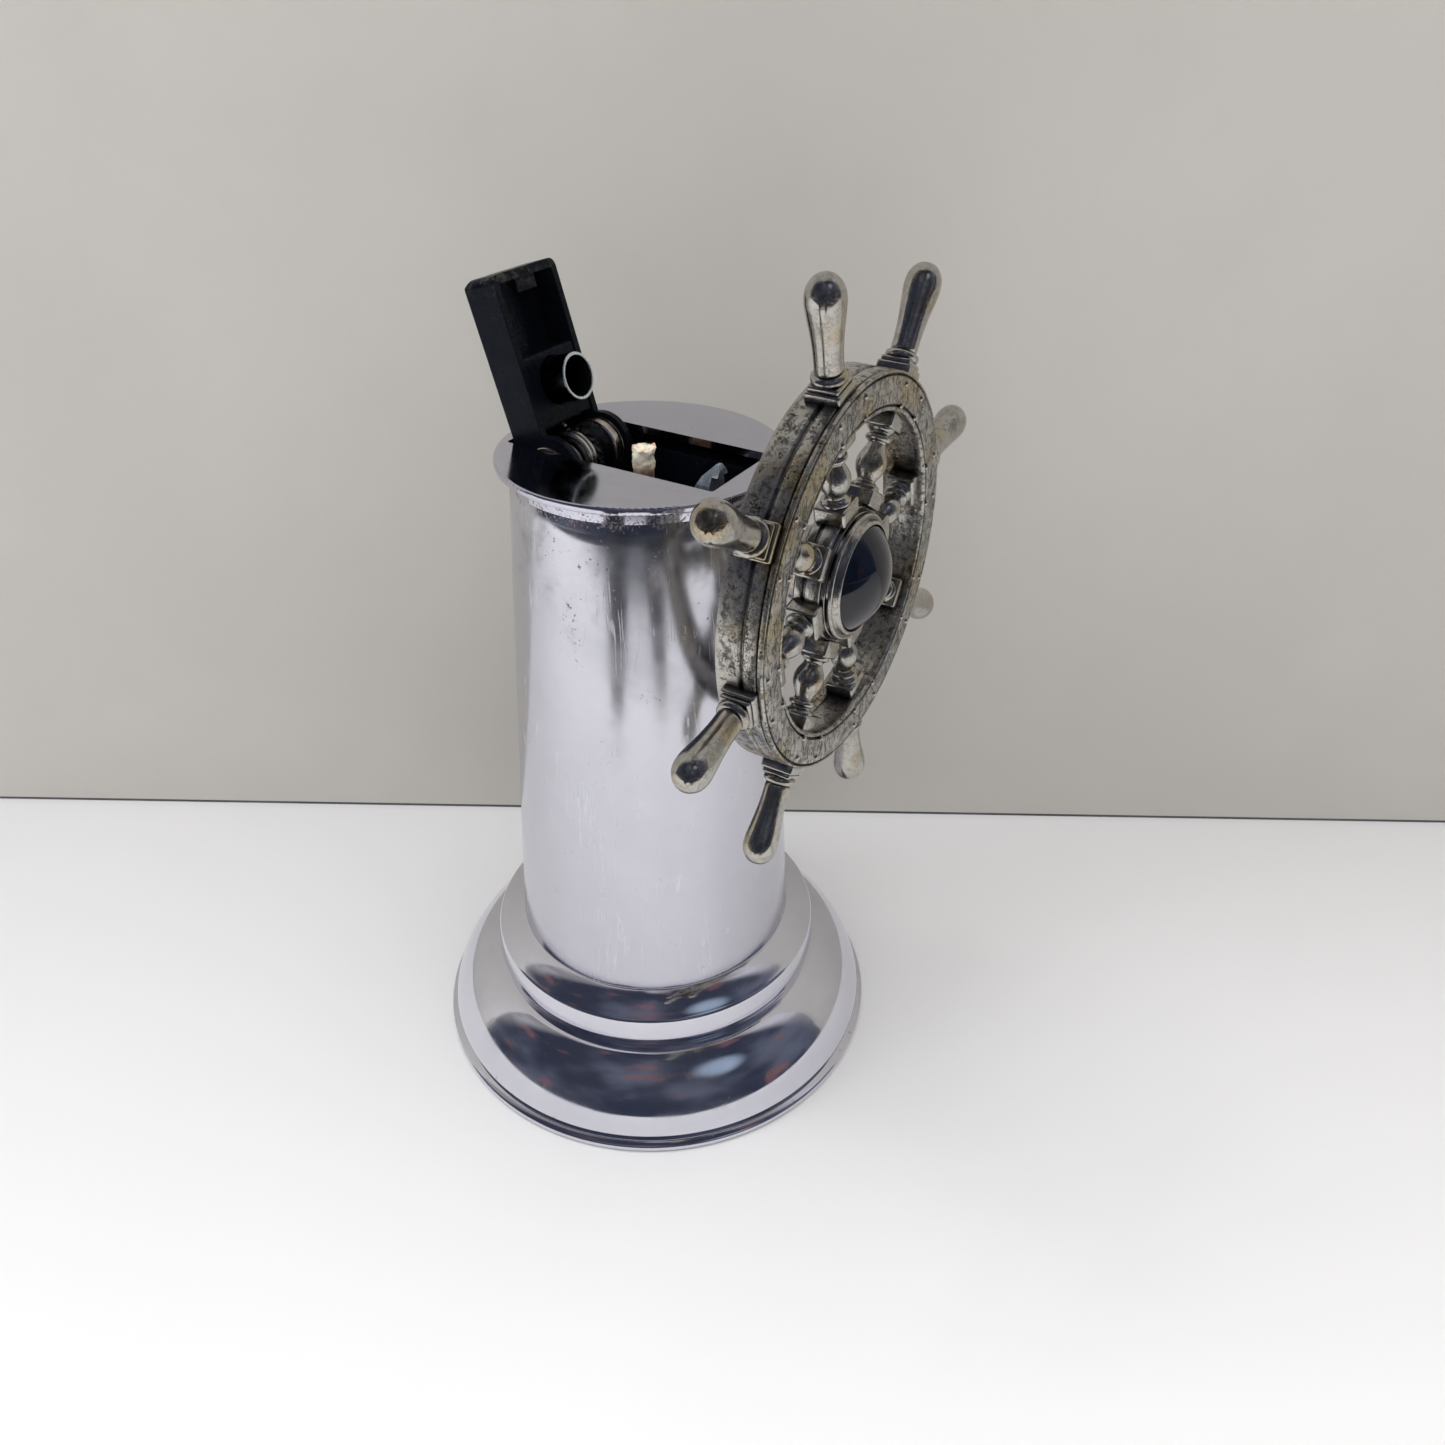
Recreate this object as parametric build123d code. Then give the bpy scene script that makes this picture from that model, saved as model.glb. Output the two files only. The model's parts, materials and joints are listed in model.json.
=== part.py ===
from build123d import *
import math
import os

# Ship's-wheel table lighter, automatic wick-and-flint type.
# Millimetres, +Z up.  Origin: centre of the base's underside, on the column's axis.
# The ship's wheel faces -Y, and the lid's hinge pin runs along X near the +Y end of the slot.

# ---------------------------------------------------------------- base and column
BASE_R = 38.0            # outer radius of the base
PAD_T = 1.0              # felt pad under the base
DOME_R = 37.03           # radius of the lower dome where it meets the groove above its foot
STEP_R = 28.0            # radius of the step above the dome
STEP_Z = 15.1            # where the step's riser starts, above its undercut
NECK_R = 23.15           # where the base meets the column
NECK_Z = 21.8
SPIGOT_R = 21.6          # spigot that the column stands over
SPIGOT_TOP = 27.0
BASE_BORE_R = 20.3
LEDGE_Z = 11.0           # underside of the base's inner ledge
WEIGHT_R = 25.0          # cast-iron ballast ring
WEIGHT_BORE_R = 16.0
COLUMN_TOP_Z = 101.0
COLUMN_TOP_R = 18.3
COLUMN_FOOT_R = 23.1
COLUMN_WALL = 1.0
SEAT_R = 17.75           # thinned bore at the column's top
SEAT_Z = 97.0

# ---------------------------------------------------------------- top plate and slot
TOP_Z = 103.8            # top face of the plate
PLATE_R = 20.2
PLATE_T = 1.1
COLLAR_R = 18.7
COLLAR_BORE_R = 17.2
SLOT_HALF_X = 7.6
SLOT_FRONT_Y = -16.0     # end of the slot by the ship's wheel
SLOT_BACK_Y = 17.5       # end of the slot by the hinge

# ---------------------------------------------------------------- mechanism frame and tank
FRAME_R = 17.0
FRAME_BOTTOM_Z = 84.5
FRAME_FLOOR_Z = 87.5
TANK_R = 15.0
TANK_WALL = 0.6
TANK_BOTTOM_Z = 3.0
COTTON_TOP_Z = 78.0
WICK_Y = -0.3
WICK_R = 1.5
WICK_TOP_Z = TOP_Z + 0.5
WICK_TUBE_R = 2.0
WICK_TUBE_TOP_Z = 95.4
FLINT_R = 1.25
FLINT_L = 5.0
FLINT_TUBE_R = 2.1
FLINT_TUBE_BORE_R = 1.4
FILLER_X = -6.5
FILLER_Y = -5.5

# ---------------------------------------------------------------- hinge row
AXLE_Y = 10.5            # hinge pin, also the spark wheel's axle
AXLE_Z = TOP_Z - 3.0
AXLE_R = 1.2
RUN_GAP = 0.05           # running clearance on the radius
EAR_R = 4.6
SPARK_R = 4.1
SPARK_X0 = -0.2
SPARK_X1 = 3.0
RATCHET_X0 = -0.85
ROW_R = 4.0              # spacer barrels

# ---------------------------------------------------------------- lid, in its closed position
LID_HALF_X = 6.6
LID_WALL = 1.1
LID_SKIN = 1.0
LID_DEPTH = 5.4          # hinge pin to the lid's outer face
LID_LENGTH = 26.0        # hinge pin to the lid's free end
LID_TAIL = 1.8           # outer skin behind the hinge pin
LID_OPEN_DEG = 107.0
CUP_REACH = AXLE_Y - WICK_Y
CUP_R = 3.2
CUP_BORE_R = 2.75
CUP_RIM = -3.9           # rim of the snuffer, from the hinge pin
BLOCK_END = 15.0         # raised block inside the lid
BLOCK_LOW = 0.2          # its face, from the hinge pin

# ---------------------------------------------------------------- ship's wheel
SHAFT_Z = 93.1
SHAFT_R = 2.48
WHEEL_BACK_Y = -28.4
WHEEL_FRONT_Y = -33.93
WHEEL_MID_Y = 0.5 * (WHEEL_BACK_Y + WHEEL_FRONT_Y)
RIM_R = 26.3
RIM_BORE_R = 21.3
HUB_R = 9.4
BEZEL_R = 8.5
JEWEL_R = 7.05
JEWEL_RISE = 3.3
SPOKE_COUNT = 8
FIRST_SPOKE_DEG = 103.7  # from +X towards +Z
HANDLE_TIP_R = 40.7
RIVET_SPREAD_DEG = 7.9
RIVET_RADII = (24.9, 22.2)
CAM_R = 3.6
CAM_THROW = 1.6
CAM_Y0 = -14.3
CAM_Y1 = -12.7

# ---------------------------------------------------------------- latch
LATCH_Y = -9.0
LATCH_Z = 97.6
LATCH_PIN_R = 1.0
LATCH_HALF_X = 2.5


def ring(outer, inner, z0, z1):
    """Plain washer or tube about Z."""
    body = Pos(0, 0, 0.5 * (z0 + z1)) * Cylinder(outer, z1 - z0)
    return body - Pos(0, 0, 0.5 * (z0 + z1)) * Cylinder(inner, 2 * (z1 - z0))


def rod_x(radius, x0, x1, y, z):
    """Solid rod along X."""
    return Pos(0.5 * (x0 + x1), y, z) * Rot(0, 90, 0) * Cylinder(radius, x1 - x0)


def rod_y(radius, y0, y1, x=0.0, z=SHAFT_Z):
    """Solid rod along Y."""
    return Pos(x, 0.5 * (y0 + y1), z) * Rot(90, 0, 0) * Cylinder(radius, abs(y1 - y0))


def rod_z(radius, z0, z1, x=0.0, y=0.0):
    """Solid rod along Z."""
    return Pos(x, y, 0.5 * (z0 + z1)) * Cylinder(radius, z1 - z0)


def block(x0, x1, y0, y1, z0, z1):
    """Box between two corners."""
    return Pos(0.5 * (x0 + x1), 0.5 * (y0 + y1), 0.5 * (z0 + z1)) * Box(x1 - x0, y1 - y0, z1 - z0)


def turned_z(points):
    """Solid of revolution about Z from (radius, z) corners."""
    outline = Polyline([(r, 0, z) for r, z in points], close=True)
    return revolve(make_face(outline), Axis.Z)


def turned_y(points, z=SHAFT_Z):
    """Solid of revolution about the wheel's axis from (radius, y) corners."""
    outline = Polyline([(r, y, 0) for r, y in points], close=True)
    return Pos(0, 0, z) * revolve(make_face(outline), Axis.Y)


def side_plate(points, x0, x1):
    """Flat plate with a (y, z) outline, between two x planes."""
    face = make_face(Polyline([(0, y, z) for y, z in points], close=True))
    return Pos(x0, 0, 0) * extrude(face, amount=x1 - x0, dir=(1, 0, 0))


def coil(radius, wire, pitch, height):
    """Round-wire coil about Z, starting at z = 0."""
    path = Helix(pitch, height, radius)
    return sweep(Plane(path @ 0, z_dir=path % 0) * Circle(wire), path=path, is_frenet=True)


def toothed_disc(tip, root, teeth, x0, x1, rake=0.5):
    """Disc about X with straight teeth; a rake of 0.5 makes them even, less makes them saw teeth."""
    points = []
    for i in range(teeth):
        tip_at = 2 * math.pi * i / teeth
        root_at = 2 * math.pi * (i + rake) / teeth
        points.append((tip * math.cos(tip_at), tip * math.sin(tip_at)))
        points.append((root * math.cos(root_at), root * math.sin(root_at)))
    disc = Pos(0, AXLE_Y, AXLE_Z) * side_plate(points, x0, x1)
    return disc - rod_x(AXLE_R + RUN_GAP, x0 - 1, x1 + 1, AXLE_Y, AXLE_Z)


# ================================================================ stand
def base():
    foot = [(31.0, PAD_T), (36.9, PAD_T), (36.9, 0.3), (BASE_R - 0.15, 0.3), (BASE_R, 0.45), (BASE_R, 1.1)]
    foot += [(BASE_R - 0.25, 1.3), (36.45, 1.55), (36.45, 2.1), (36.8, 2.45), (DOME_R, 2.7)]
    outline = Polyline([(r, 0, z) for r, z in foot])
    dome = ThreePointArc((DOME_R, 0, 2.7), (33.2, 0, 9.9), (28.6, 0, 12.96))
    crease = [(28.6, 12.96), (27.35, 13.1), (27.35, 13.5), (27.75, 14.5), (STEP_R, STEP_Z), (27.75, 18.6)]
    step = Polyline([(r, 0, z) for r, z in crease])
    shoulder = ThreePointArc((27.75, 0, 18.6), (27.57, 0, 19.1), (27.15, 0, 19.44))
    brow = ThreePointArc((27.15, 0, 19.44), (25.3, 0, 20.78), (NECK_R, 0, NECK_Z))
    inside = [(NECK_R, NECK_Z), (SPIGOT_R, NECK_Z), (SPIGOT_R, SPIGOT_TOP - 0.5),
              (SPIGOT_R - 0.5, SPIGOT_TOP), (BASE_BORE_R, SPIGOT_TOP), (BASE_BORE_R, LEDGE_Z),
              (25.9, LEDGE_Z), (27.0, 6.0), (29.6, 2.3), (31.0, PAD_T)]
    inner = Polyline([(r, 0, z) for r, z in inside])
    section = make_face([outline, dome, step, shoulder, brow, inner])
    shape = revolve(section, Axis.Z)
    for x, y in polar_spots(22.9, 3, 30):
        shape -= rod_z(1.3, LEDGE_Z - 1, 15.2, x, y)
    return shape


def polar_spots(radius, count, start_deg):
    """Evenly spaced points on a circle."""
    spots = []
    for i in range(count):
        a = math.radians(start_deg + 360.0 * i / count)
        spots.append((radius * math.cos(a), radius * math.sin(a)))
    return spots


def base_pad():
    pad = rod_z(36.8, 0.0, PAD_T)
    for x, y in polar_spots(22.9, 3, 30):
        pad -= rod_z(3.1, -1.0, PAD_T + 1.0, x, y)
    pad -= rod_z(3.3, -1.0, PAD_T + 1.0, flint_x(), AXLE_Y)
    return pad - rod_z(4.0, -1.0, PAD_T + 1.0, FILLER_X, FILLER_Y)


def base_weight():
    shape = ring(WEIGHT_R, WEIGHT_BORE_R, 2.0, LEDGE_Z)
    for x, y in polar_spots(22.9, 3, 30):
        shape -= rod_z(1.5, 1.0, LEDGE_Z + 1, x, y)
    return shape


def base_screws():
    screws = []
    for x, y in polar_spots(22.9, 3, 30):
        head = rod_z(2.0, 0.6, 2.0, x, y)
        slot = block(x - 2.5, x + 2.5, y - 0.25, y + 0.25, 0.0, 1.1)
        screws.append((head - slot) + rod_z(1.25, 2.0, 15.0, x, y))
    return screws


def column():
    outer = [(COLUMN_FOOT_R, NECK_Z), (COLUMN_TOP_R, COLUMN_TOP_Z)]
    inner = [(SEAT_R, COLUMN_TOP_Z), (SEAT_R, SEAT_Z)]
    slope = (COLUMN_FOOT_R - COLUMN_TOP_R) / (COLUMN_TOP_Z - NECK_Z)
    seat_wall_r = COLUMN_TOP_R + slope * (COLUMN_TOP_Z - SEAT_Z) - COLUMN_WALL
    inner += [(seat_wall_r, SEAT_Z), (COLUMN_FOOT_R - COLUMN_WALL, NECK_Z)]
    shape = turned_z(outer + inner)
    return shape - rod_y(3.65, -30, -10)


def top_plate():
    disc = rod_z(PLATE_R, TOP_Z - PLATE_T, TOP_Z)
    edges = disc.edges().filter_by(GeomType.CIRCLE)
    disc = fillet(edges, 0.35)
    collar = ring(COLLAR_R, COLLAR_BORE_R, COLUMN_TOP_Z, TOP_Z - PLATE_T)
    relief = block(-7.2, 7.2, 0, 17.05, COLUMN_TOP_Z - 1, TOP_Z)
    slot = block(-SLOT_HALF_X, SLOT_HALF_X, SLOT_FRONT_Y, SLOT_BACK_Y, TOP_Z - PLATE_T - 0.01, TOP_Z + 1)
    slot = fillet(slot.edges().filter_by(Axis.Z), 0.5)
    return disc + (collar - relief) - slot


def mechanism_frame():
    plug = rod_z(FRAME_R, FRAME_BOTTOM_Z, COLUMN_TOP_Z - 0.1)
    plug -= block(-SLOT_HALF_X, SLOT_HALF_X, -20, 20, FRAME_FLOOR_Z, TOP_Z)
    plug -= rod_x(AXLE_R, -20, 20, AXLE_Y, AXLE_Z)
    plug -= rod_x(LATCH_PIN_R, -20, 20, LATCH_Y, LATCH_Z)
    plug -= rod_z(WICK_TUBE_R, FRAME_BOTTOM_Z - 1, FRAME_FLOOR_Z + 1, 0, WICK_Y)
    plug -= rod_z(FLINT_TUBE_R, FRAME_BOTTOM_Z - 1, FRAME_FLOOR_Z + 1, flint_x(), AXLE_Y)
    plug -= block(-5.2, 5.2, -18.5, -13.6, FRAME_BOTTOM_Z - 1, FRAME_FLOOR_Z + 1)
    for x in (-12.0, 12.0):
        plug -= rod_z(1.0, FRAME_BOTTOM_Z - 1, FRAME_BOTTOM_Z + 8.1, x, 0)
    return plug


def flint_x():
    return 0.5 * (SPARK_X0 + SPARK_X1)


def frame_screws():
    screws = []
    for x in (-12.0, 12.0):
        screws.append(rod_z(1.9, 82.3, 83.7, x, 0) + rod_z(0.97, 83.7, FRAME_BOTTOM_Z + 8, x, 0))
    return screws


def fuel_tank():
    can = rod_z(TANK_R, TANK_BOTTOM_Z, FRAME_BOTTOM_Z - 2.5)
    can -= rod_z(TANK_R - TANK_WALL, TANK_BOTTOM_Z + TANK_WALL, FRAME_BOTTOM_Z - 2.5 - TANK_WALL)
    flange = rod_z(TANK_R, FRAME_BOTTOM_Z - 0.8, FRAME_BOTTOM_Z)
    neck = rod_z(8.0, FRAME_BOTTOM_Z - 2.5, FRAME_BOTTOM_Z - 0.8) + flange
    neck = neck + rod_z(3.2, FRAME_BOTTOM_Z - 2.5, FRAME_BOTTOM_Z - 0.8, flint_x(), AXLE_Y)
    shape = can + neck
    shape -= rod_z(WICK_TUBE_R, FRAME_BOTTOM_Z - 5, FRAME_BOTTOM_Z + 1, 0, WICK_Y)
    shape -= rod_z(FLINT_TUBE_R, 0, FRAME_BOTTOM_Z + 1, flint_x(), AXLE_Y)
    shape -= rod_z(2.5, 0, 6.0, FILLER_X, FILLER_Y)
    for x in (-12.0, 12.0):
        shape -= rod_z(1.1, FRAME_BOTTOM_Z - 1, FRAME_BOTTOM_Z + 1, x, 0)
    return shape


def tank_cotton():
    pad = rod_z(TANK_R - TANK_WALL - 0.1, 9.0, COTTON_TOP_Z)
    pad -= rod_z(FLINT_TUBE_R + 0.1, 0, 90, flint_x(), AXLE_Y)
    return pad - rod_z(WICK_R + 0.05, 45, 90, 0, WICK_Y)


def wick():
    return rod_z(WICK_R, 45.5, WICK_TOP_Z, 0, WICK_Y)


def wick_tube():
    return Pos(0, WICK_Y, 0) * ring(WICK_TUBE_R, WICK_R + 0.05, FRAME_BOTTOM_Z - 3, WICK_TUBE_TOP_Z)


def flint_top():
    return AXLE_Z - SPARK_R - 0.3


def flint_tube():
    top = flint_top() - 1.0
    return Pos(flint_x(), AXLE_Y, 0) * ring(FLINT_TUBE_R, FLINT_TUBE_BORE_R, TANK_BOTTOM_Z - 0.4, top)


def flint():
    return rod_z(FLINT_R, flint_top() - FLINT_L, flint_top(), flint_x(), AXLE_Y)


def flint_spring():
    low = 66.0
    height = flint_top() - FLINT_L - low - 0.4
    return Pos(flint_x(), AXLE_Y, low + 0.2) * coil(1.0, 0.17, 1.3, height)


def flint_screw():
    head = rod_z(2.9, 0.9, TANK_BOTTOM_Z - 0.4, flint_x(), AXLE_Y)
    slot = block(flint_x() - 4, flint_x() + 4, AXLE_Y - 0.35, AXLE_Y + 0.35, 0.0, 1.6)
    return (head - slot) + rod_z(1.35, TANK_BOTTOM_Z - 0.4, 66.0, flint_x(), AXLE_Y)


def filler_screw():
    head = rod_z(3.6, 1.2, TANK_BOTTOM_Z, FILLER_X, FILLER_Y)
    slot = block(FILLER_X - 4, FILLER_X + 4, FILLER_Y - 0.5, FILLER_Y + 0.5, 0.0, 1.9)
    return (head - slot) + rod_z(2.45, TANK_BOTTOM_Z, 6.5, FILLER_X, FILLER_Y)


def hinge_pin():
    return rod_x(AXLE_R, -12.5, 12.5, AXLE_Y, AXLE_Z)


def row_sleeve(radius, x0, x1):
    """Barrel or washer on the hinge pin."""
    body = rod_x(radius, x0, x1, AXLE_Y, AXLE_Z)
    body = chamfer(body.edges().filter_by(GeomType.CIRCLE), min(0.25, 0.3 * (x1 - x0)))
    return body - rod_x(AXLE_R, x0 - 1, x1 + 1, AXLE_Y, AXLE_Z)


def axle_washers():
    return [row_sleeve(3.4, -7.5, -6.9), row_sleeve(ROW_R, 5.0, 5.35), row_sleeve(3.4, 6.9, 7.5)]


def lid_spring():
    body = coil(2.6, 0.3, 0.65, 1.3)
    return Pos(-4.4, AXLE_Y, AXLE_Z) * Rot(0, 90, 0) * body


def shaft_bush():
    barrel = rod_y(3.6, -24.4, -14.7)
    flange = turned_y([(0, -19.25), (5.6, -19.25), (5.6, -20.2), (4.6, -21.0), (0, -21.0)])
    return barrel + flange - rod_y(SHAFT_R + RUN_GAP, -40, 0)


def bush_nut():
    hexagon = Pos(0, -16.4, SHAFT_Z) * Rot(90, 0, 0) * extrude(RegularPolygon(4.7, 6), 0.6, both=True)
    return hexagon - rod_y(3.62, -20, -10)


def wheel_spring():
    body = coil(4.1, 0.25, 0.6, 0.6)
    return Pos(0, -15.5, SHAFT_Z) * Rot(-90, 0, 0) * body


def latch_pin():
    return rod_x(LATCH_PIN_R, -12.5, 12.5, LATCH_Y, LATCH_Z)


def latch_spring():
    body = coil(1.6, 0.25, 0.6, 2.4)
    return Pos(3.3, LATCH_Y, LATCH_Z) * Rot(0, 90, 0) * body


# ================================================================ lid
def lid_side():
    """Side outline of the lid about the hinge pin: reach from the pin, then height."""
    corner = 0.8
    return [(-LID_TAIL, 3.2), (-LID_TAIL, LID_DEPTH), (LID_LENGTH - corner, LID_DEPTH),
            (LID_LENGTH, LID_DEPTH - corner), (LID_LENGTH, 0.0), (0.0, 0.0)]


def as_closed(reach, height):
    """A point of the lid, closed, in the row's (y, z)."""
    return (AXLE_Y - reach, AXLE_Z + height)


def opened(shape):
    """Turns a closed lid piece back about the hinge pin to where the lid stands open."""
    return Pos(0, AXLE_Y, AXLE_Z) * Rot(-LID_OPEN_DEG, 0, 0) * Pos(0, -AXLE_Y, -AXLE_Z) * shape


def lid_box(reach0, reach1, height0, height1, half_x):
    return block(-half_x, half_x, AXLE_Y - reach1, AXLE_Y - reach0, AXLE_Z + height0, AXLE_Z + height1)


def lid_shell():
    outline = [as_closed(reach, height) for reach, height in lid_side()]
    body = side_plate(outline, -LID_HALF_X, LID_HALF_X)
    body += rod_x(EAR_R, -LID_HALF_X, LID_HALF_X, AXLE_Y, AXLE_Z)
    tip_edges = body.edges().filter_by(Axis.Z).group_by(Axis.Y)[0]
    body = fillet(tip_edges, 1.2)
    inner_x = LID_HALF_X - LID_WALL
    body -= lid_box(-10, LID_LENGTH - 1.2, -10, LID_DEPTH - LID_SKIN, inner_x)
    body += rod_x(3.3, -inner_x, 0.7 - inner_x, AXLE_Y, AXLE_Z)
    body += lid_box(LID_LENGTH - 3.0, LID_LENGTH - 1.2, 0.4, 1.5, 2.0)
    return body - rod_x(AXLE_R + RUN_GAP, -20, 20, AXLE_Y, AXLE_Z)


def lid_block():
    half_x = LID_HALF_X - LID_WALL - 0.02
    body = lid_box(5.0, BLOCK_END, BLOCK_LOW, LID_DEPTH - LID_SKIN, half_x)
    body = fillet(body.edges().filter_by(Axis.X).group_by(Axis.Z)[0], 0.5)
    return body - rod_z(CUP_R, 80, 120, 0, WICK_Y)


def snuffer_cup():
    ceiling = AXLE_Z + LID_DEPTH - LID_SKIN
    tube = rod_z(CUP_R, AXLE_Z + CUP_RIM, ceiling, 0, WICK_Y)
    return tube - rod_z(CUP_BORE_R, 80, ceiling - 0.4, 0, WICK_Y)


def drive_pawl():
    """Spring-steel finger on the lid that catches the ratchet's teeth."""
    top = LID_DEPTH - LID_SKIN
    strip = side_plate([as_closed(4.95, 4.35), as_closed(4.95, 0.9), as_closed(4.45, 0.5),
                        as_closed(4.35, 0.8), as_closed(4.65, 1.2), as_closed(4.65, top)],
                       RATCHET_X0, RATCHET_X0 + 0.5)
    return strip


# ================================================================ spark wheel
def spark_wheel():
    return toothed_disc(SPARK_R, SPARK_R - 0.35, 34, SPARK_X0, SPARK_X1)


def ratchet_wheel():
    return toothed_disc(SPARK_R, SPARK_R - 0.5, 16, RATCHET_X0, SPARK_X0 - 0.02, rake=0.15)


# ================================================================ ship's wheel
def wheel_rim():
    front = WHEEL_FRONT_Y
    back = WHEEL_BACK_Y
    mid = WHEEL_MID_Y
    points = [(RIM_BORE_R, back + 0.4), (RIM_BORE_R + 0.4, back), (RIM_R - 0.5, back), (RIM_R, back - 0.5),
              (RIM_R, mid + 0.35), (RIM_R - 0.35, mid), (RIM_R, mid - 0.35),
              (RIM_R, front + 1.0), (RIM_R - 0.2, front + 0.85), (RIM_R, front + 0.7), (RIM_R, front + 0.3),
              (RIM_R - 0.3, front + 0.1), (RIM_R - 0.45, front + 0.5), (RIM_R - 0.65, front + 0.4),
              (RIM_R - 0.65, front), (RIM_BORE_R + 0.9, front), (RIM_BORE_R + 0.8, front + 0.35),
              (RIM_BORE_R + 0.55, front + 0.1), (RIM_BORE_R + 0.2, front + 0.15), (RIM_BORE_R, front + 0.5)]
    return turned_y(points)


def radial(shape, spoke_deg):
    """Places a piece made along +X at a spoke's angle on the wheel."""
    return Pos(0, WHEEL_MID_Y, SHAFT_Z) * Rot(0, -spoke_deg, 0) * shape


def turned_x(points):
    """Solid of revolution about X from (x, radius) corners, closed along the axis."""
    first, last = points[0], points[-1]
    corners = [(first[0], 0)] + list(points) + [(last[0], 0)]
    return revolve(make_face(Polyline([(x, r, 0) for x, r in corners], close=True)), Axis.X)


def handle():
    square = block(25.8, 28.2, -2.35, 2.35, -2.2, 2.2)
    square = chamfer(square.edges().filter_by(Axis.X), 0.3)
    collar = turned_x([(28.1, 1.9), (28.5, 2.3), (29.0, 2.3), (29.4, 1.95)])
    start = Polyline((29.3, 0, 0), (29.3, 1.95, 0))
    club = Spline((29.3, 1.95, 0), (31.5, 1.9, 0), (34.5, 2.12, 0), (37.6, 2.5, 0), (39.8, 1.8, 0),
                  (HANDLE_TIP_R, 0, 0), tangents=((1, -0.1, 0), (0, -1, 0)))
    axis = Line((HANDLE_TIP_R, 0, 0), (29.3, 0, 0))
    grip = revolve(make_face([start, club, axis]), Axis.X)
    shape = square + collar + grip
    return shape - Rot(90, 0, 0) * Cylinder(RIM_R, 20)


def spoke():
    inner = block(HUB_R - 0.8, 11.4, -2.2, 2.2, -2.2, 2.2)
    outer = block(19.2, RIM_BORE_R + 1, -2.2, 2.2, -2.1, 2.1)
    blocks = chamfer(inner.edges().filter_by(Axis.X), 0.3) + chamfer(outer.edges().filter_by(Axis.X), 0.3)
    baluster = turned_x([(11.3, 1.8), (11.6, 1.9), (12.0, 1.5), (12.3, 1.25), (12.8, 1.45), (13.6, 1.85),
                         (14.6, 2.05), (15.6, 1.85), (16.6, 1.4), (17.2, 1.15), (17.5, 1.3), (17.8, 1.65),
                         (18.2, 1.7), (18.5, 1.35), (18.7, 1.5), (19.3, 1.8)])
    shape = blocks + baluster
    shape -= Rot(90, 0, 0) * Cylinder(HUB_R, 20)
    return shape & (Rot(90, 0, 0) * Cylinder(RIM_BORE_R, 20))


def wheel_hub():
    points = [(0, -25.0), (4.6, -25.0), (5.2, -25.6), (5.2, -27.6), (7.0, -28.4), (HUB_R, -28.8),
              (HUB_R, -32.2), (HUB_R - 0.3, -32.5), (HUB_R - 0.6, -32.5), (HUB_R - 0.9, -33.0), (0, -33.0)]
    return turned_y(points) - rod_y(SHAFT_R, -31.2, -20)


def hub_bezel():
    points = [(JEWEL_R + 0.05, -33.0), (BEZEL_R, -33.0), (BEZEL_R, -33.6), (BEZEL_R - 0.25, -33.85),
              (BEZEL_R - 0.5, -33.75), (JEWEL_R + 0.45, -34.45), (JEWEL_R + 0.25, -34.65),
              (JEWEL_R + 0.05, -34.5)]
    return turned_y(points)


def hub_jewel():
    seat_y = -34.4
    dome_r = (JEWEL_R ** 2 + JEWEL_RISE ** 2) / (2 * JEWEL_RISE)
    centre_y = seat_y - JEWEL_RISE + dome_r
    dome = Pos(0, centre_y, SHAFT_Z) * Sphere(dome_r)
    dome &= rod_y(JEWEL_R, seat_y - 10, seat_y)
    return dome + rod_y(JEWEL_R, seat_y, -33.02)


def wheel_rivets():
    studs = []
    for i in range(SPOKE_COUNT):
        for side in (-1, 1):
            for radius in RIVET_RADII:
                a = math.radians(FIRST_SPOKE_DEG - 45 * i + side * RIVET_SPREAD_DEG)
                spot = Pos(radius * math.cos(a), WHEEL_FRONT_Y, SHAFT_Z + radius * math.sin(a))
                cap = Pos(0, 0.15, 0) * Sphere(0.55) & Pos(0, -1, 0) * Box(2, 2, 2)
                studs.append(spot * cap)
    return studs


def wheel_shaft():
    return rod_y(SHAFT_R, -31.2, -14.45) + rod_y(1.5, -14.46, CAM_Y1)


def shaft_cam():
    return rod_y(CAM_R, CAM_Y0, CAM_Y1, x=-CAM_THROW) - rod_y(1.5, -20, 0)


def cam_screw():
    head = rod_y(1.6, CAM_Y1, CAM_Y1 + 0.8)
    return head - block(-2, 2, CAM_Y1 + 0.4, CAM_Y1 + 1, SHAFT_Z - 0.2, SHAFT_Z + 0.2)


# ================================================================ latch
def latch_lever():
    hook = side_plate([(-8.0, 98.4), (-9.4, 100.2), (-10.6, 102.6), (-12.2, 104.2), (-12.7, 104.2),
                       (-13.0, 103.6), (-13.0, 102.7), (-12.1, 102.7), (-12.1, 100.4), (-10.8, 98.6)],
                      -2.0, 2.0)
    nose = [(-2.0, 96.0), (2.0, 96.0), (2.0, 101.6), (0.45, 104.25), (-0.45, 104.25), (-2.0, 101.6)]
    hook &= extrude(make_face(Polyline([(x, -20, z) for x, z in nose], close=True)), amount=20, dir=(0, 1, 0))
    foot = side_plate([(-8.0, 98.6), (-14.4, 98.6), (-14.4, 97.0), (-9.0, 97.0)], -LATCH_HALF_X, LATCH_HALF_X)
    hub = rod_x(2.1, -LATCH_HALF_X, LATCH_HALF_X, LATCH_Y, LATCH_Z)
    return hook + foot + hub - rod_x(LATCH_PIN_R + RUN_GAP, -9, 9, LATCH_Y, LATCH_Z)


def save(name, shape):
    """Writes one sub-part; a list of equal pieces becomes one group."""
    if isinstance(shape, list):
        shape = Compound(children=[piece.solids()[0] for piece in shape])
    export_step(shape, "parts/" + name + ".step")


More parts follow.
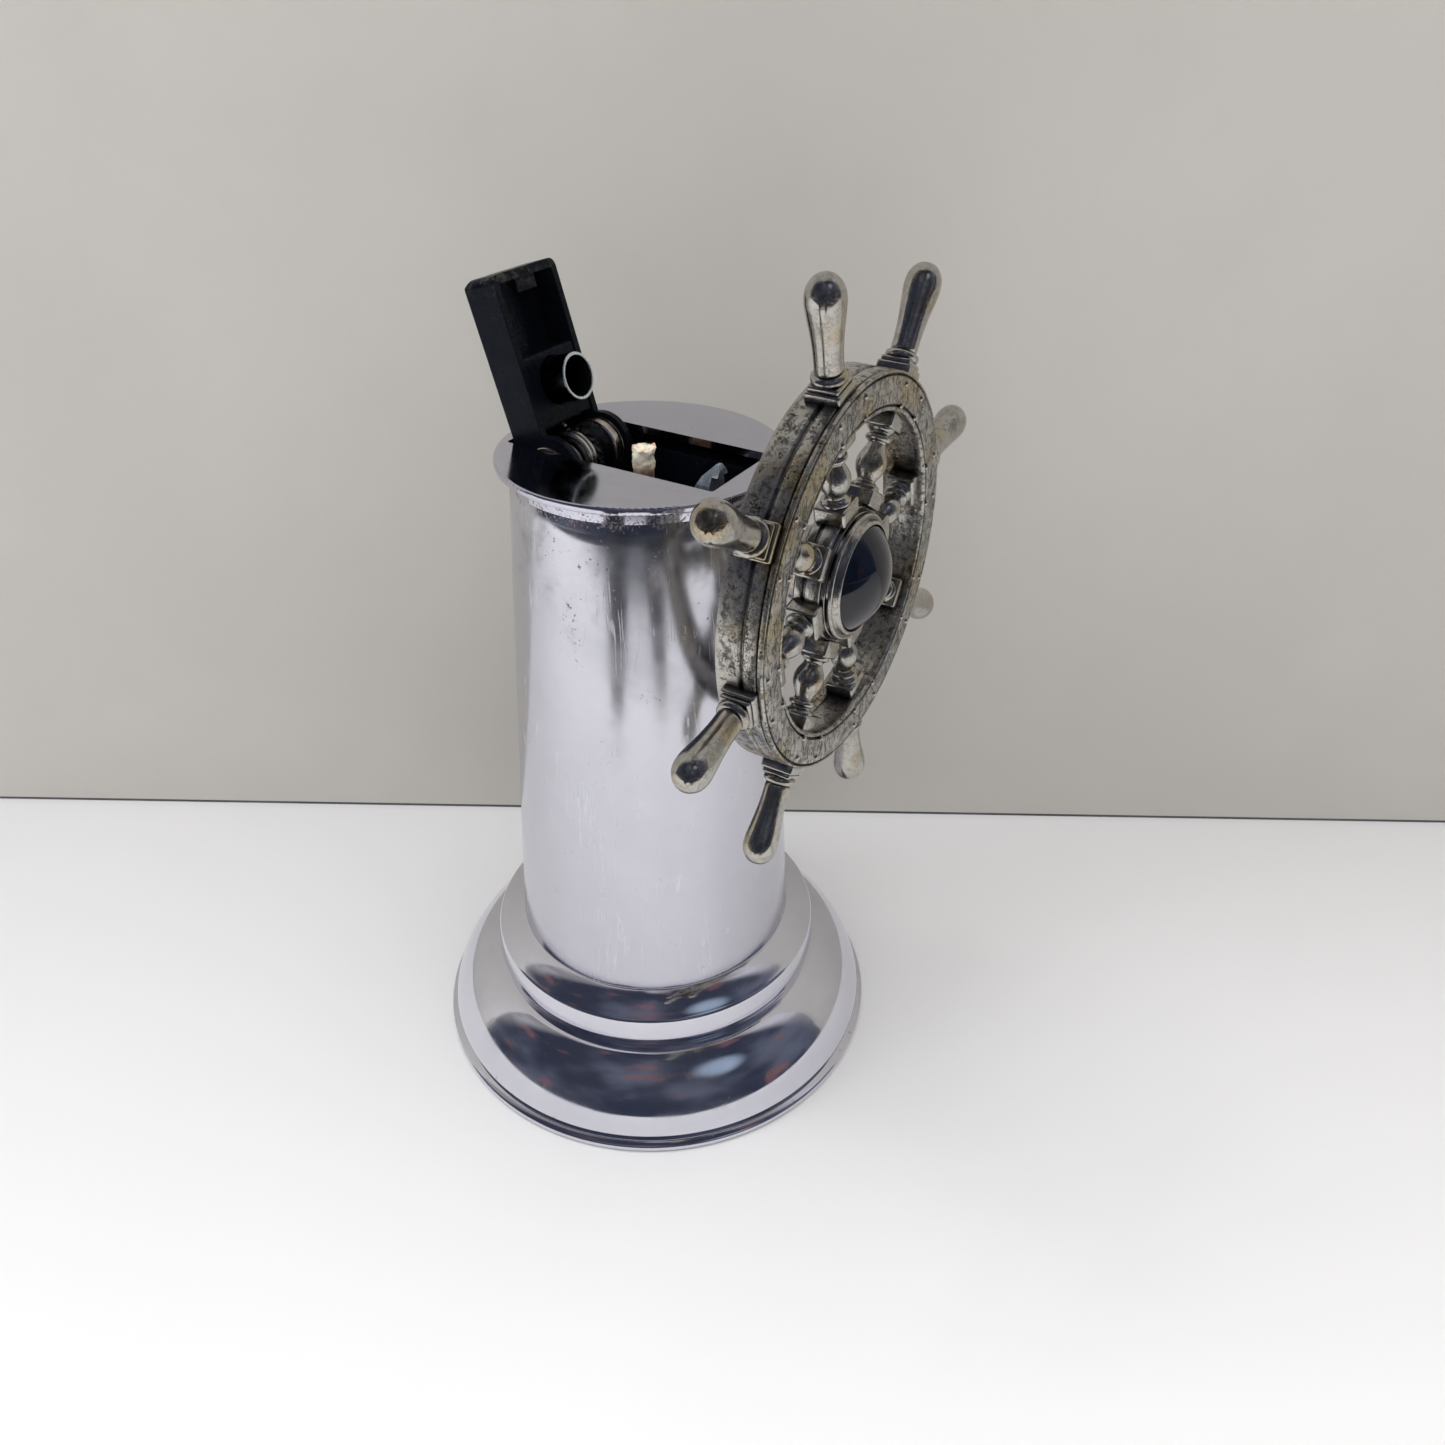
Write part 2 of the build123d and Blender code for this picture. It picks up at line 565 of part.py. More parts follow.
def main():
    os.makedirs("parts", exist_ok=True)
    for piece in (base, base_pad, base_weight, base_screws, column, top_plate, mechanism_frame, frame_screws,
                  fuel_tank, tank_cotton, wick, wick_tube, flint_tube, flint, flint_spring, flint_screw,
                  filler_screw, hinge_pin, axle_washers, lid_spring, shaft_bush, bush_nut, wheel_spring,
                  latch_pin, latch_spring, spark_wheel, ratchet_wheel, wheel_rim, wheel_hub, hub_bezel,
                  hub_jewel, wheel_rivets, wheel_shaft, shaft_cam, cam_screw, latch_lever):
        save(piece.__name__, piece())
    save("left_spacer", row_sleeve(ROW_R, -2.7, -1.0))
    save("right_spacer", row_sleeve(ROW_R, 3.15, 4.85))
    for piece in (lid_shell, lid_block, snuffer_cup, drive_pawl):
        save(piece.__name__, opened(piece()))
    for i in range(SPOKE_COUNT):
        spoke_deg = FIRST_SPOKE_DEG - 360.0 / SPOKE_COUNT * i
        save("spoke_%d" % (i + 1), radial(spoke(), spoke_deg))
        save("handle_%d" % (i + 1), radial(handle(), spoke_deg))


main()
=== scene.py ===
"""Ship's-wheel table lighter: its turned, cast and moulded pieces, their finishes and the studio."""
import math
import json
import bmesh
import bpy
from bpy.props import FloatProperty, FloatVectorProperty, IntProperty, PointerProperty
from mathutils import Matrix, Vector, geometry, noise


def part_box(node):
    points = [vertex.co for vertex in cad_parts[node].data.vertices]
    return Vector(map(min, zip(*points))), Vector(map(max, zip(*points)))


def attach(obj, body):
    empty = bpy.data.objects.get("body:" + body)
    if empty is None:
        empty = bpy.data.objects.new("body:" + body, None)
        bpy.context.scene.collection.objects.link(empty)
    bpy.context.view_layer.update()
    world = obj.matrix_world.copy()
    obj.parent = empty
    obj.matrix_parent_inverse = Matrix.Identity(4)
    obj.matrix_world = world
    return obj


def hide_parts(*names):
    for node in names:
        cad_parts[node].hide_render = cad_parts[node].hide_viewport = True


bl_info = {
    "name": "Ship's Wheel Table Lighter",
    "version": (1, 0, 0),
    "blender": (4, 5, 0),
    "location": "View3D > Sidebar > Lighter",
    "description": "Builds a chromed table lighter with a cast ship's wheel around its packed frame",
    "category": "Object",
}

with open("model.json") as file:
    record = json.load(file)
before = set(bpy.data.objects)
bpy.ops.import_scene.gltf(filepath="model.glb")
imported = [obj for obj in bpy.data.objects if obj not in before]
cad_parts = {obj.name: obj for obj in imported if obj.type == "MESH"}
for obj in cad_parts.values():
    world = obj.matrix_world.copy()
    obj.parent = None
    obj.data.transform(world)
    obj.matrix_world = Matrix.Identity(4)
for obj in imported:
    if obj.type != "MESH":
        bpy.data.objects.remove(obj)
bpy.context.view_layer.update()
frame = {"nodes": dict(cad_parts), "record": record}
JOINTS = {joint["name"]: joint for joint in frame["record"]["behaviour"]["joints"]}
MM = 0.001
SHAFT = Vector(JOINTS["ship_wheel_turn"]["pos_m"])
AXLE = Vector(JOINTS["lid_swing"]["pos_m"])
RIM_LOW, RIM_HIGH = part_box("wheel_rim")
WHEEL_MID_Y = 0.5 * (RIM_LOW.y + RIM_HIGH.y)
WHEEL_CENTRE = Vector((0.0, WHEEL_MID_Y, SHAFT.z))
WHEEL_FRONT = RIM_LOW.y / MM
WHEEL_BACK = RIM_HIGH.y / MM
PLATE_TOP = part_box("top_plate")[1].z
SPOKE_COUNT = 8
PLAIN_GREY = (0.5, 0.5, 0.5, 1.0)
X_AXIS, Y_AXIS, Z_AXIS = Vector((1, 0, 0)), Vector((0, 1, 0)), Vector((0, 0, 1))


# ---------------------------------------------------------------- what a user may change
def length(name, description, default):
    return FloatProperty(name=name, description=description, default=default, unit="LENGTH",
                         subtype="DISTANCE", min=0.0, precision=5)


def colour(name, description, default):
    return FloatVectorProperty(name=name, description=description, default=default, subtype="COLOR", size=3,
                               min=0.0, max=1.0)


class LighterSizes(bpy.types.PropertyGroup):
    base_radius: length("Base radius", "Outer radius of the stepped base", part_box("base")[1].x)
    column_top_radius: length("Column top radius", "Radius of the column under its plate", 0.0183)
    column_foot_radius: length("Column foot radius", "Radius of the column where it meets the base", 0.0231)
    rim_radius: length("Rim radius", "Outer radius of the ship's wheel's rim", RIM_HIGH.x)
    rim_bore: length("Rim bore", "Inner radius of the ship's wheel's rim", 0.0213)
    hub_radius: length("Hub radius", "Outer radius of the hub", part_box("wheel_hub")[1].x)
    jewel_radius: length("Jewel radius", "Radius of the cabochon in the hub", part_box("hub_jewel")[1].x)
    first_spoke: FloatProperty(name="First spoke", description="Angle of the first spoke from level",
                               default=math.radians(103.7), unit="ROTATION", subtype="ANGLE")
    turned_steps: IntProperty(name="Turning steps", description="Steps round a large turned piece",
                              default=192, min=24)


class LighterColours(bpy.types.PropertyGroup):
    chrome: colour("Chrome", "Tint of the polished chrome", (0.61, 0.61, 0.665))
    nickel: colour("Nickel", "Tint of the wheel's nickel plate", (0.47, 0.455, 0.415))
    gilt: colour("Tarnish", "Yellow tarnish on the nickel", (0.42, 0.33, 0.165))
    patina: colour("Patina", "Dark patina in the recesses", (0.018, 0.016, 0.018))
    moulding: colour("Moulding", "Black of the lid and the mechanism frame", (0.0032, 0.0038, 0.006))
    jewel: colour("Jewel", "Navy-black of the cabochon", (0.0025, 0.0035, 0.008))
    felt: colour("Felt", "Felt under the base", (0.03, 0.07, 0.05))
    brass: colour("Brass", "Tubes and nut", (0.76, 0.55, 0.27))
    steel: colour("Steel", "Bright steel of barrels and screws", (0.56, 0.53, 0.49))
    wall: colour("Wall", "Backdrop behind the lighter", (0.60, 0.58, 0.54))
    table: colour("Table", "White table top", (0.86, 0.86, 0.87))


def sizes():
    return bpy.context.scene.lighter_sizes


def colours():
    return bpy.context.scene.lighter_colours


# ---------------------------------------------------------------- mesh helpers
def arc(start, through, end, count):
    """Points of the arc through three (a, b) points, both ends included."""
    (ax, ay), (bx, by), (cx, cy) = start, through, end
    d = 2.0 * (ax * (by - cy) + bx * (cy - ay) + cx * (ay - by))
    a2, b2, c2 = ax * ax + ay * ay, bx * bx + by * by, cx * cx + cy * cy
    ox = (a2 * (by - cy) + b2 * (cy - ay) + c2 * (ay - by)) / d
    oy = (a2 * (cx - bx) + b2 * (ax - cx) + c2 * (bx - ax)) / d
    radius = math.hypot(ax - ox, ay - oy)
    first = math.atan2(ay - oy, ax - ox)
    middle = (math.atan2(by - oy, bx - ox) - first) % math.tau
    sweep = (math.atan2(cy - oy, cx - ox) - first) % math.tau
    if middle > sweep:
        sweep -= math.tau
    points = []
    for i in range(count + 1):
        angle = first + sweep * i / count
        points.append((ox + radius * math.cos(angle), oy + radius * math.sin(angle)))
    return points


def curve(knots, count):
    """A smooth outline through (a, b) knots."""
    points = [Vector((a, b, 0.0)) for a, b in knots]
    outline = []
    for i in range(len(points) - 1):
        before = points[max(i - 1, 0)]
        after = points[min(i + 2, len(points) - 1)]
        lead = points[i] + (points[i + 1] - before) / 6.0
        trail = points[i + 1] - (after - points[i]) / 6.0
        stretch = geometry.interpolate_bezier(points[i], lead, trail, points[i + 1], count + 1)
        outline += stretch[:-1]
    outline.append(points[-1])
    return [(p.x, p.y) for p in outline]


def turn(bm, outline, to_place, axis, centre, steps, closed=True):
    """Spins an outline in millimetres; to_place makes a 3-D point of an (a, b) pair."""
    corners = [bm.verts.new(centre + to_place(a, b) * MM) for a, b in outline]
    edges = [bm.edges.new(pair) for pair in zip(corners, corners[1:])]
    if closed:
        edges.append(bm.edges.new((corners[-1], corners[0])))
    bmesh.ops.spin(bm, geom=corners + edges, cent=centre, axis=axis, dvec=(0, 0, 0), angle=math.tau,
                   steps=steps, use_merge=True, use_duplicate=False, use_normal_flip=False)


def turned(outline, axis, centre, steps, closed=True, soften=0.0, sharper=0.5):
    """A turned body: (radius, height along the axis) in millimetres from the centre."""
    places = {
        "X": lambda a, b: Vector((b, a, 0.0)),
        "Y": lambda a, b: Vector((a, b, 0.0)),
        "Z": lambda a, b: Vector((a, 0.0, b)),
    }
    directions = {"X": X_AXIS, "Y": Y_AXIS, "Z": Z_AXIS}
    bm = bmesh.new()
    turn(bm, outline, places[axis], directions[axis], centre, steps, closed)
    tidy(bm)
    if soften:
        soften_edges(bm, soften, sharper)
    return bm


def tidy(bm, gap=1e-7):
    bmesh.ops.remove_doubles(bm, verts=bm.verts[:], dist=gap)
    bmesh.ops.dissolve_degenerate(bm, dist=gap, edges=bm.edges[:])
    bmesh.ops.recalc_face_normals(bm, faces=bm.faces[:])


def soften_edges(bm, width, sharper):
    """Rounds every edge whose faces turn by more than the angle sharper, in radians."""
    hard = [e for e in bm.edges if len(e.link_faces) == 2 and e.calc_face_angle(0.0) > sharper]
    round_off(bm, hard, width, 2)


def round_off(bm, edges, width, segments):
    bmesh.ops.bevel(bm, geom=edges, offset=width, offset_type="OFFSET", segments=segments, profile=0.5,
                    affect="EDGES", clamp_overlap=True, material=-1)


def add_block(bm, low, high, soften):
    """A box between two corners in millimetres, with softened edges."""
    low, high = Vector(low) * MM, Vector(high) * MM
    verts = bmesh.ops.create_cube(bm, size=1.0)["verts"]
    bmesh.ops.scale(bm, vec=high - low, verts=verts)
    bmesh.ops.translate(bm, vec=0.5 * (low + high), verts=verts)
    round_off(bm, list({e for v in verts for e in v.link_edges}), soften, 3)


def joined(*parts):
    """One bmesh from several, each left as its own closed shell."""
    whole = bmesh.new()
    for part in parts:
        carrier = bpy.data.meshes.new("carrier")
        part.to_mesh(carrier)
        part.free()
        whole.from_mesh(carrier)
        bpy.data.meshes.remove(carrier)
    return whole


def from_frame(node):
    """A clean copy of a frame node: corners merged and flat triangles joined."""
    bm = bmesh.new()
    bm.from_mesh(frame["nodes"][node].data)
    bmesh.ops.remove_doubles(bm, verts=bm.verts[:], dist=2e-6)
    bmesh.ops.dissolve_limit(bm, angle_limit=math.radians(0.3), use_dissolve_boundaries=False,
                             verts=bm.verts[:], edges=bm.edges[:], delimit=set())
    return bm


def place(bm, name, body, finish, nodes, sharp=35.0):
    """Makes the finished piece: smooth where it is round, on its body, standing for its nodes."""
    mesh = bpy.data.meshes.new(name)
    bm.to_mesh(mesh)
    bm.free()
    mesh.shade_smooth()
    mesh.set_sharp_from_angle(angle=math.radians(sharp))
    piece = bpy.data.objects.new(name, mesh)
    bpy.context.scene.collection.objects.link(piece)
    mesh.materials.append(finish)
    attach(piece, body)
    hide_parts(*nodes)
    return piece


def upright_centre(low, high):
    """The middle of a box, at floor level."""
    return Vector((0.5 * (low.x + high.x), 0.5 * (low.y + high.y), 0.0))


def worn_edges(piece, width, segments=3, angle=30.0):
    """Rounded edges that catch the light, with flat faces kept flat."""
    bevel = piece.modifiers.new("worn edges", "BEVEL")
    bevel.width = width
    bevel.segments = segments
    bevel.limit_method = "ANGLE"
    bevel.angle_limit = math.radians(angle)
    bevel.use_clamp_overlap = True
    flats = piece.modifiers.new("flat faces", "WEIGHTED_NORMAL")
    flats.keep_sharp = True
    flats.weight = 100


def wheel_turn(index):
    """Turns a piece modelled along +X out to a spoke of the ship's wheel."""
    angle = sizes().first_spoke - math.tau * index / SPOKE_COUNT
    return Matrix.Translation(WHEEL_CENTRE) @ Matrix.Rotation(-angle, 4, "Y")


# ---------------------------------------------------------------- shader helpers
class Wiring:
    """Adds nodes to a tree and links them."""

    def __init__(self, tree):
        self.tree = tree

    def add(self, kind, inputs=None, **settings):
        made = self.tree.nodes.new(kind)
        for name, value in settings.items():
            setattr(made, name, value)
        for name, value in (inputs or {}).items():
            self.feed(made.inputs[name], value)
        return made

    def feed(self, socket, value):
        if isinstance(value, bpy.types.NodeSocket):
            self.tree.links.new(value, socket)
        else:
            socket.default_value = value

    def math(self, operation, first, second=0.0):
        made = self.tree.nodes.new("ShaderNodeMath")
        made.operation = operation
        for socket, value in zip(made.inputs, (first, second, 0.0)):
            self.feed(socket, value)
        return made.outputs[0]

    def plus(self, first, second):
        return self.math("ADD", first, second)

    def minus(self, first, second):
        return self.math("SUBTRACT", first, second)

    def times(self, first, second):
        return self.math("MULTIPLY", first, second)

    def larger(self, first, second):
        return self.math("MAXIMUM", first, second)

    def line(self, value, gain, offset):
        """The value times a gain, plus an offset."""
        return self.plus(self.times(value, gain), offset)

    def reach(self, first, second):
        """The length of two sides at right angles."""
        return self.math("SQRT", self.plus(self.times(first, first), self.times(second, second)))

    def dot(self, vector, direction):
        made = self.add("ShaderNodeVectorMath", {0: vector, 1: tuple(direction)}, operation="DOT_PRODUCT")
        return made.outputs["Value"]

    def band(self, value, low, high):
        """0 below low and 1 above high, smooth between; the other way round when low > high."""
        made = self.add("ShaderNodeMapRange", {"Value": value}, interpolation_type="SMOOTHSTEP")
        flip = low > high
        self.feed(made.inputs["From Min"], min(low, high))
        self.feed(made.inputs["From Max"], max(low, high))
        self.feed(made.inputs["To Min"], 1.0 if flip else 0.0)
        self.feed(made.inputs["To Max"], 0.0 if flip else 1.0)
        return made.outputs["Result"]

    def blend(self, mask, first, second):
        """The first colour where the mask is 0 and the second where it is 1."""
        made = self.add("ShaderNodeMix", data_type="RGBA")
        self.feed(made.inputs[0], mask)
        for socket, value in ((made.inputs[6], first), (made.inputs[7], second)):
            if not isinstance(value, bpy.types.NodeSocket):
                value = (*tuple(value)[:3], 1.0)
            self.feed(socket, value)
        return made.outputs[2]

    def place(self):
        return self.add("ShaderNodeTexCoord").outputs["Object"]

    def stretched(self, vector, scale, turn_by=(0.0, 0.0, 0.0), shift=(0.0, 0.0, 0.0)):
        return self.add("ShaderNodeMapping", {"Vector": vector, "Scale": scale, "Rotation": turn_by,
                                              "Location": shift}).outputs[0]

    def clouds(self, vector, scale, detail=4.0, roughness=0.55, distortion=0.0):
        return self.add("ShaderNodeTexNoise", {"Vector": vector, "Scale": scale, "Detail": detail,
                                               "Roughness": roughness, "Distortion": distortion}).outputs[0]

    def split(self, vector):
        return self.add("ShaderNodeSeparateXYZ", {"Vector": vector}).outputs


def effect_group(name, inputs, outputs, build):
    """A shader node group with named sockets, built once."""
    if name in bpy.data.node_groups:
        return bpy.data.node_groups[name]
    tree = bpy.data.node_groups.new(name, "ShaderNodeTree")
    for socket_name, default in inputs:
        socket = tree.interface.new_socket(name=socket_name, in_out="INPUT", socket_type="NodeSocketFloat")
        socket.default_value = default
    for socket_name in outputs:
        tree.interface.new_socket(name=socket_name, in_out="OUTPUT", socket_type="NodeSocketFloat")
    wiring = Wiring(tree)
    given = tree.nodes.new("NodeGroupInput").outputs
    taken = tree.nodes.new("NodeGroupOutput").inputs
    for socket_name, value in build(wiring, given).items():
        tree.links.new(value, taken[socket_name])
    return tree


def speckle_group():
    """Small pits and spots, scattered in patches."""
    def build(w, given):
        where = w.place()
        fine = w.clouds(where, given["Scale"], detail=3.0, roughness=0.7)
        patches = w.clouds(where, w.times(given["Scale"], 0.12), detail=2.0)
        level = w.plus(fine, w.times(w.minus(patches, 0.5), given["Patchiness"]))
        over = w.minus(level, given["Threshold"])
        mask = w.times(over, given["Contrast"])
        return {"Mask": w.math("MINIMUM", w.larger(mask, 0.0), 1.0)}
    inputs = (("Scale", 900.0), ("Threshold", 0.62), ("Patchiness", 0.5), ("Contrast", 14.0))
    return effect_group("speckle", inputs, ("Mask",), build)


def scratch_group():
    """Hairlines in three directions, broken up by noise."""
    def build(w, given):
        where = w.place()
        total = None
        for spin, tilt in ((0.4, 0.2), (1.5, -0.5), (2.5, 0.9)):
            lines = w.stretched(where, (1.0, 1.0, 0.045), turn_by=(tilt, spin, 0.7 * spin))
            sharp = w.clouds(lines, given["Scale"], detail=2.0, roughness=0.6, distortion=0.25)
            ridge = w.math("ABSOLUTE", w.minus(sharp, 0.5))
            hair = w.band(ridge, 0.012, 0.0)
            slower = w.times(given["Scale"], 0.22 + 0.05 * spin)
            breaks = w.band(w.clouds(where, slower), 0.56, 0.66)
            one = w.times(hair, breaks)
            total = one if total is None else w.larger(total, one)
        return {"Mask": w.times(total, given["Amount"])}
    return effect_group("hairline scratches", (("Scale", 500.0), ("Amount", 1.0)), ("Mask",), build)


def smudge_group():
    """Slow uneven haze, for roughness."""
    def build(w, given):
        where = w.place()
        slow = w.clouds(where, given["Scale"], detail=5.0, roughness=0.6, distortion=0.6)
        fine = w.clouds(where, w.times(given["Scale"], 9.0), detail=3.0)
        both = w.plus(w.times(slow, 0.75), w.times(fine, 0.25))
        return {"Value": w.band(both, 0.36, 0.64)}
    return effect_group("smudges", (("Scale", 60.0),), ("Value",), build)


def edge_wear_group():
    """1 along outer edges, broken up by noise."""
    def build(w, given):
        inside = w.add("ShaderNodeAmbientOcclusion", {"Distance": given["Reach"]}, inside=True, samples=8)
        near = w.minus(1.0, inside.outputs["AO"])
        rough = w.clouds(w.place(), given["Scale"], detail=3.0)
        level = w.times(near, w.plus(0.45, rough))
        return {"Mask": w.band(level, 0.32, 0.62)}
    return effect_group("edge wear", (("Reach", 0.0004), ("Scale", 900.0)), ("Mask",), build)


def recess_group():
    """1 in grooves and inner corners, where dirt and patina stay."""
    def build(w, given):
        outside = w.add("ShaderNodeAmbientOcclusion", {"Distance": given["Reach"]}, samples=8)
        deep = w.minus(1.0, outside.outputs["AO"])
        rough = w.clouds(w.place(), given["Scale"], detail=3.0)
        level = w.plus(deep, w.times(w.minus(rough, 0.5), 0.35))
        return {"Mask": w.times(w.band(level, 0.18, 0.62), given["Amount"])}
    inputs = (("Reach", 0.0015), ("Scale", 700.0), ("Amount", 1.0))
    return effect_group("recess dirt", inputs, ("Mask",), build)


def effect(w, group, **values):
    made = w.add("ShaderNodeGroup", node_tree=group)
    for name, value in values.items():
        w.feed(made.inputs[name], value)
    return made.outputs[0]


def start_finish(name, slot, metallic=0.0, roughness=0.5):
    """An empty finish: its wiring and the inputs of its Principled shader."""
    material = bpy.data.materials.new(name)
    material.use_nodes = True
    material["slot"] = slot
    material.diffuse_color = PLAIN_GREY
    shader = material.node_tree.nodes["Principled BSDF"]
    shader.inputs["Metallic"].default_value = metallic
    shader.inputs["Roughness"].default_value = roughness
    shader.inputs["Base Color"].default_value = PLAIN_GREY
    return Wiring(material.node_tree), shader.inputs


def lighter_tone(tint, gain):
    return [min(1.0, gain * c) for c in tint]


def bump(w, sockets, height, distance, strength=1.0):
    made = w.add("ShaderNodeBump", {"Height": height, "Distance": distance, "Strength": strength})
    w.feed(sockets["Normal"], made.outputs[0])


def made_once(build):
    """Keeps one material for each finish function."""
    def finish():
        name = build.__name__ + " finish"
        if name not in bpy.data.materials:
            build(name)
        return bpy.data.materials[name]
    return finish


# ---------------------------------------------------------------- finishes
@made_once
def base_chrome(name):
    """Bright chrome with light haze, hairlines and pinholes, chipped near its foot."""
    w, sockets = start_finish(name, "base_chrome", metallic=1.0)
    haze = effect(w, smudge_group(), Scale=70.0)
    pits = effect(w, speckle_group(), Scale=1300.0, Threshold=0.74, Patchiness=0.5, Contrast=16.0)
    hair = effect(w, scratch_group(), Scale=420.0, Amount=0.5)
    height = w.split(w.place())["Z"]
    edge = w.band(height, 0.0042, 0.0028)
    flakes = effect(w, speckle_group(), Scale=420.0, Threshold=0.66, Patchiness=0.4, Contrast=12.0)
    chips = w.times(edge, flakes)
    spots = w.larger(w.times(pits, 0.55), chips)
    bright = lighter_tone(colours().chrome, 1.2)
    tint = w.blend(w.times(haze, 0.35), bright, (0.64, 0.64, 0.70))
    w.feed(sockets["Base Color"], w.blend(spots, tint, (0.06, 0.045, 0.04)))
    rough = w.line(haze, 0.07, 0.055)
    rough = w.plus(rough, w.times(hair, 0.2))
    w.feed(sockets["Roughness"], w.plus(rough, w.times(spots, 0.4)))
    bump(w, sockets, w.minus(w.times(hair, -0.5), spots), 0.00001, 0.6)


@made_once
def column_chrome(name):
    """Hazy chrome, worn by handling, with brown corrosion creeping down from the plate."""
    w, sockets = start_finish(name, "column_chrome", metallic=1.0)
    where = w.place()
    height = w.split(where)["Z"]
    haze = effect(w, smudge_group(), Scale=38.0)
    streaks = w.clouds(w.stretched(where, (1.0, 1.0, 0.06)), 260.0, detail=4.0)
    under_plate = w.band(height, 0.0990, 0.1006)
    upper = w.band(height, 0.066, 0.098)
    rust_noise = w.clouds(where, 2600.0, detail=5.0, roughness=0.75, distortion=0.2)
    rust_patches = w.clouds(where, 160.0, detail=3.0)
    level = w.plus(rust_noise, w.times(under_plate, 0.17))
    level = w.plus(level, w.times(w.minus(rust_patches, 0.5), 0.45))
    rust = w.times(w.band(level, 0.69, 0.80), w.band(height, 0.0968, 0.0994))
    pits = effect(w, speckle_group(), Scale=1500.0, Threshold=0.70, Patchiness=0.55, Contrast=18.0)
    pits = w.times(pits, w.line(upper, 0.75, 0.2))
    blotch = w.times(w.band(w.clouds(where, 95.0, detail=5.0, roughness=0.65), 0.5, 0.68), upper)
    hair = effect(w, scratch_group(), Scale=300.0, Amount=1.0)
    tint = w.blend(w.times(haze, 0.3), colours().chrome, (0.54, 0.54, 0.59))
    tint = w.blend(w.times(blotch, 0.6), tint, (0.28, 0.265, 0.27))
    tint = w.blend(w.times(pits, 0.8), tint, (0.10, 0.09, 0.085))
    tint = w.blend(w.times(hair, 0.35), tint, (0.95, 0.95, 0.97))
    w.feed(sockets["Base Color"], w.blend(w.times(rust, 0.85), tint, (0.20, 0.12, 0.055)))
    rough = w.line(haze, 0.11, 0.13)
    rough = w.plus(rough, w.times(w.minus(streaks, 0.5), 0.10))
    rough = w.plus(rough, w.times(w.larger(rust, pits), 0.35))
    w.feed(sockets["Roughness"], w.plus(rough, w.times(hair, 0.2)))
    w.feed(sockets["Metallic"], w.minus(1.0, w.times(rust, 0.7)))
    sunk = w.plus(pits, w.times(hair, 0.4))
    relief = w.minus(w.times(rust, 0.8), sunk)
    bump(w, sockets, relief, 0.000015, 0.7)


@made_once
def plate_chrome(name):
    """Satin plate with wiping marks, and brown grime low on its outer edge."""
    w, sockets = start_finish(name, "plate_chrome", metallic=1.0)
    haze = effect(w, smudge_group(), Scale=85.0)
    hair = effect(w, scratch_group(), Scale=520.0, Amount=0.8)
    pits = effect(w, speckle_group(), Scale=1600.0, Threshold=0.76, Patchiness=0.4, Contrast=18.0)
    where = w.place()
    parts = w.split(where)
    low = w.band(parts["Z"], PLATE_TOP - 0.0010, PLATE_TOP - 0.0014)
    low = w.times(low, w.band(w.reach(parts["X"], parts["Y"]), 0.0180, 0.0184))
    grime = w.times(low, w.band(w.clouds(where, 2800.0, detail=5.0), 0.53, 0.66))
    tint = w.blend(w.times(haze, 0.4), (0.60, 0.60, 0.68), (0.50, 0.50, 0.57))
    tint = w.blend(w.times(pits, 0.7), tint, (0.14, 0.13, 0.13))
    w.feed(sockets["Base Color"], w.blend(w.times(grime, 0.8), tint, (0.22, 0.14, 0.07)))
    rough = w.line(haze, 0.06, 0.075)
    rough = w.plus(rough, w.times(grime, 0.35))
    marks = w.larger(hair, pits)
    w.feed(sockets["Roughness"], w.plus(rough, w.times(marks, 0.22)))
    bump(w, sockets, w.minus(0.0, marks), 0.000006, 0.6)


def nickel_body(w, sockets, polish, grain):
    """Antique nickel: dark patina in recesses, yellow tarnish, speckles and a cast skin."""
    where = w.place()
    rawness = 1.0 - polish
    recess = effect(w, recess_group(), Reach=0.0030, Scale=900.0, Amount=1.0)
    wear = effect(w, edge_wear_group(), Reach=0.0004, Scale=1500.0)
    specks = effect(w, speckle_group(), Scale=3600.0, Threshold=0.56, Patchiness=0.75, Contrast=8.0)
    patches = w.band(w.clouds(where, 1150.0, detail=6.0, roughness=0.72, distortion=0.2), 0.48, 0.60)
    elsewhere = w.stretched(where, (1, 1, 1), shift=(0.3, 0.7, 0.1))
    yellow = w.band(w.clouds(elsewhere, 130.0, detail=4.0), 0.50, 0.68)
    tint = w.blend(w.times(yellow, 0.7), colours().nickel, colours().gilt)
    dark = w.larger(recess, w.times(specks, 0.25 + 0.65 * rawness))
    dark = w.larger(dark, w.times(patches, 0.22 + 0.5 * rawness))
    dark = w.larger(dark, w.times(grain, 0.8))
    dark = w.times(dark, w.minus(1.0, w.times(wear, 0.75)))
    w.feed(sockets["Base Color"], w.blend(dark, tint, colours().patina))
    slow = effect(w, smudge_group(), Scale=300.0)
    rough = w.plus(w.times(slow, 0.06 + 0.10 * rawness), 0.06 + 0.12 * rawness)
    w.feed(sockets["Roughness"], w.plus(rough, w.times(dark, 0.2)))
    skin = w.clouds(where, 4200.0, detail=4.0, roughness=0.7)
    lumps = w.clouds(where, 700.0, detail=3.0)
    relief = w.plus(w.times(skin, 0.4), lumps)
    relief = w.minus(relief, w.times(specks, 0.45))
    relief = w.minus(relief, w.times(grain, 0.7))
    bump(w, sockets, relief, 0.00005, 0.25 + 0.6 * rawness)


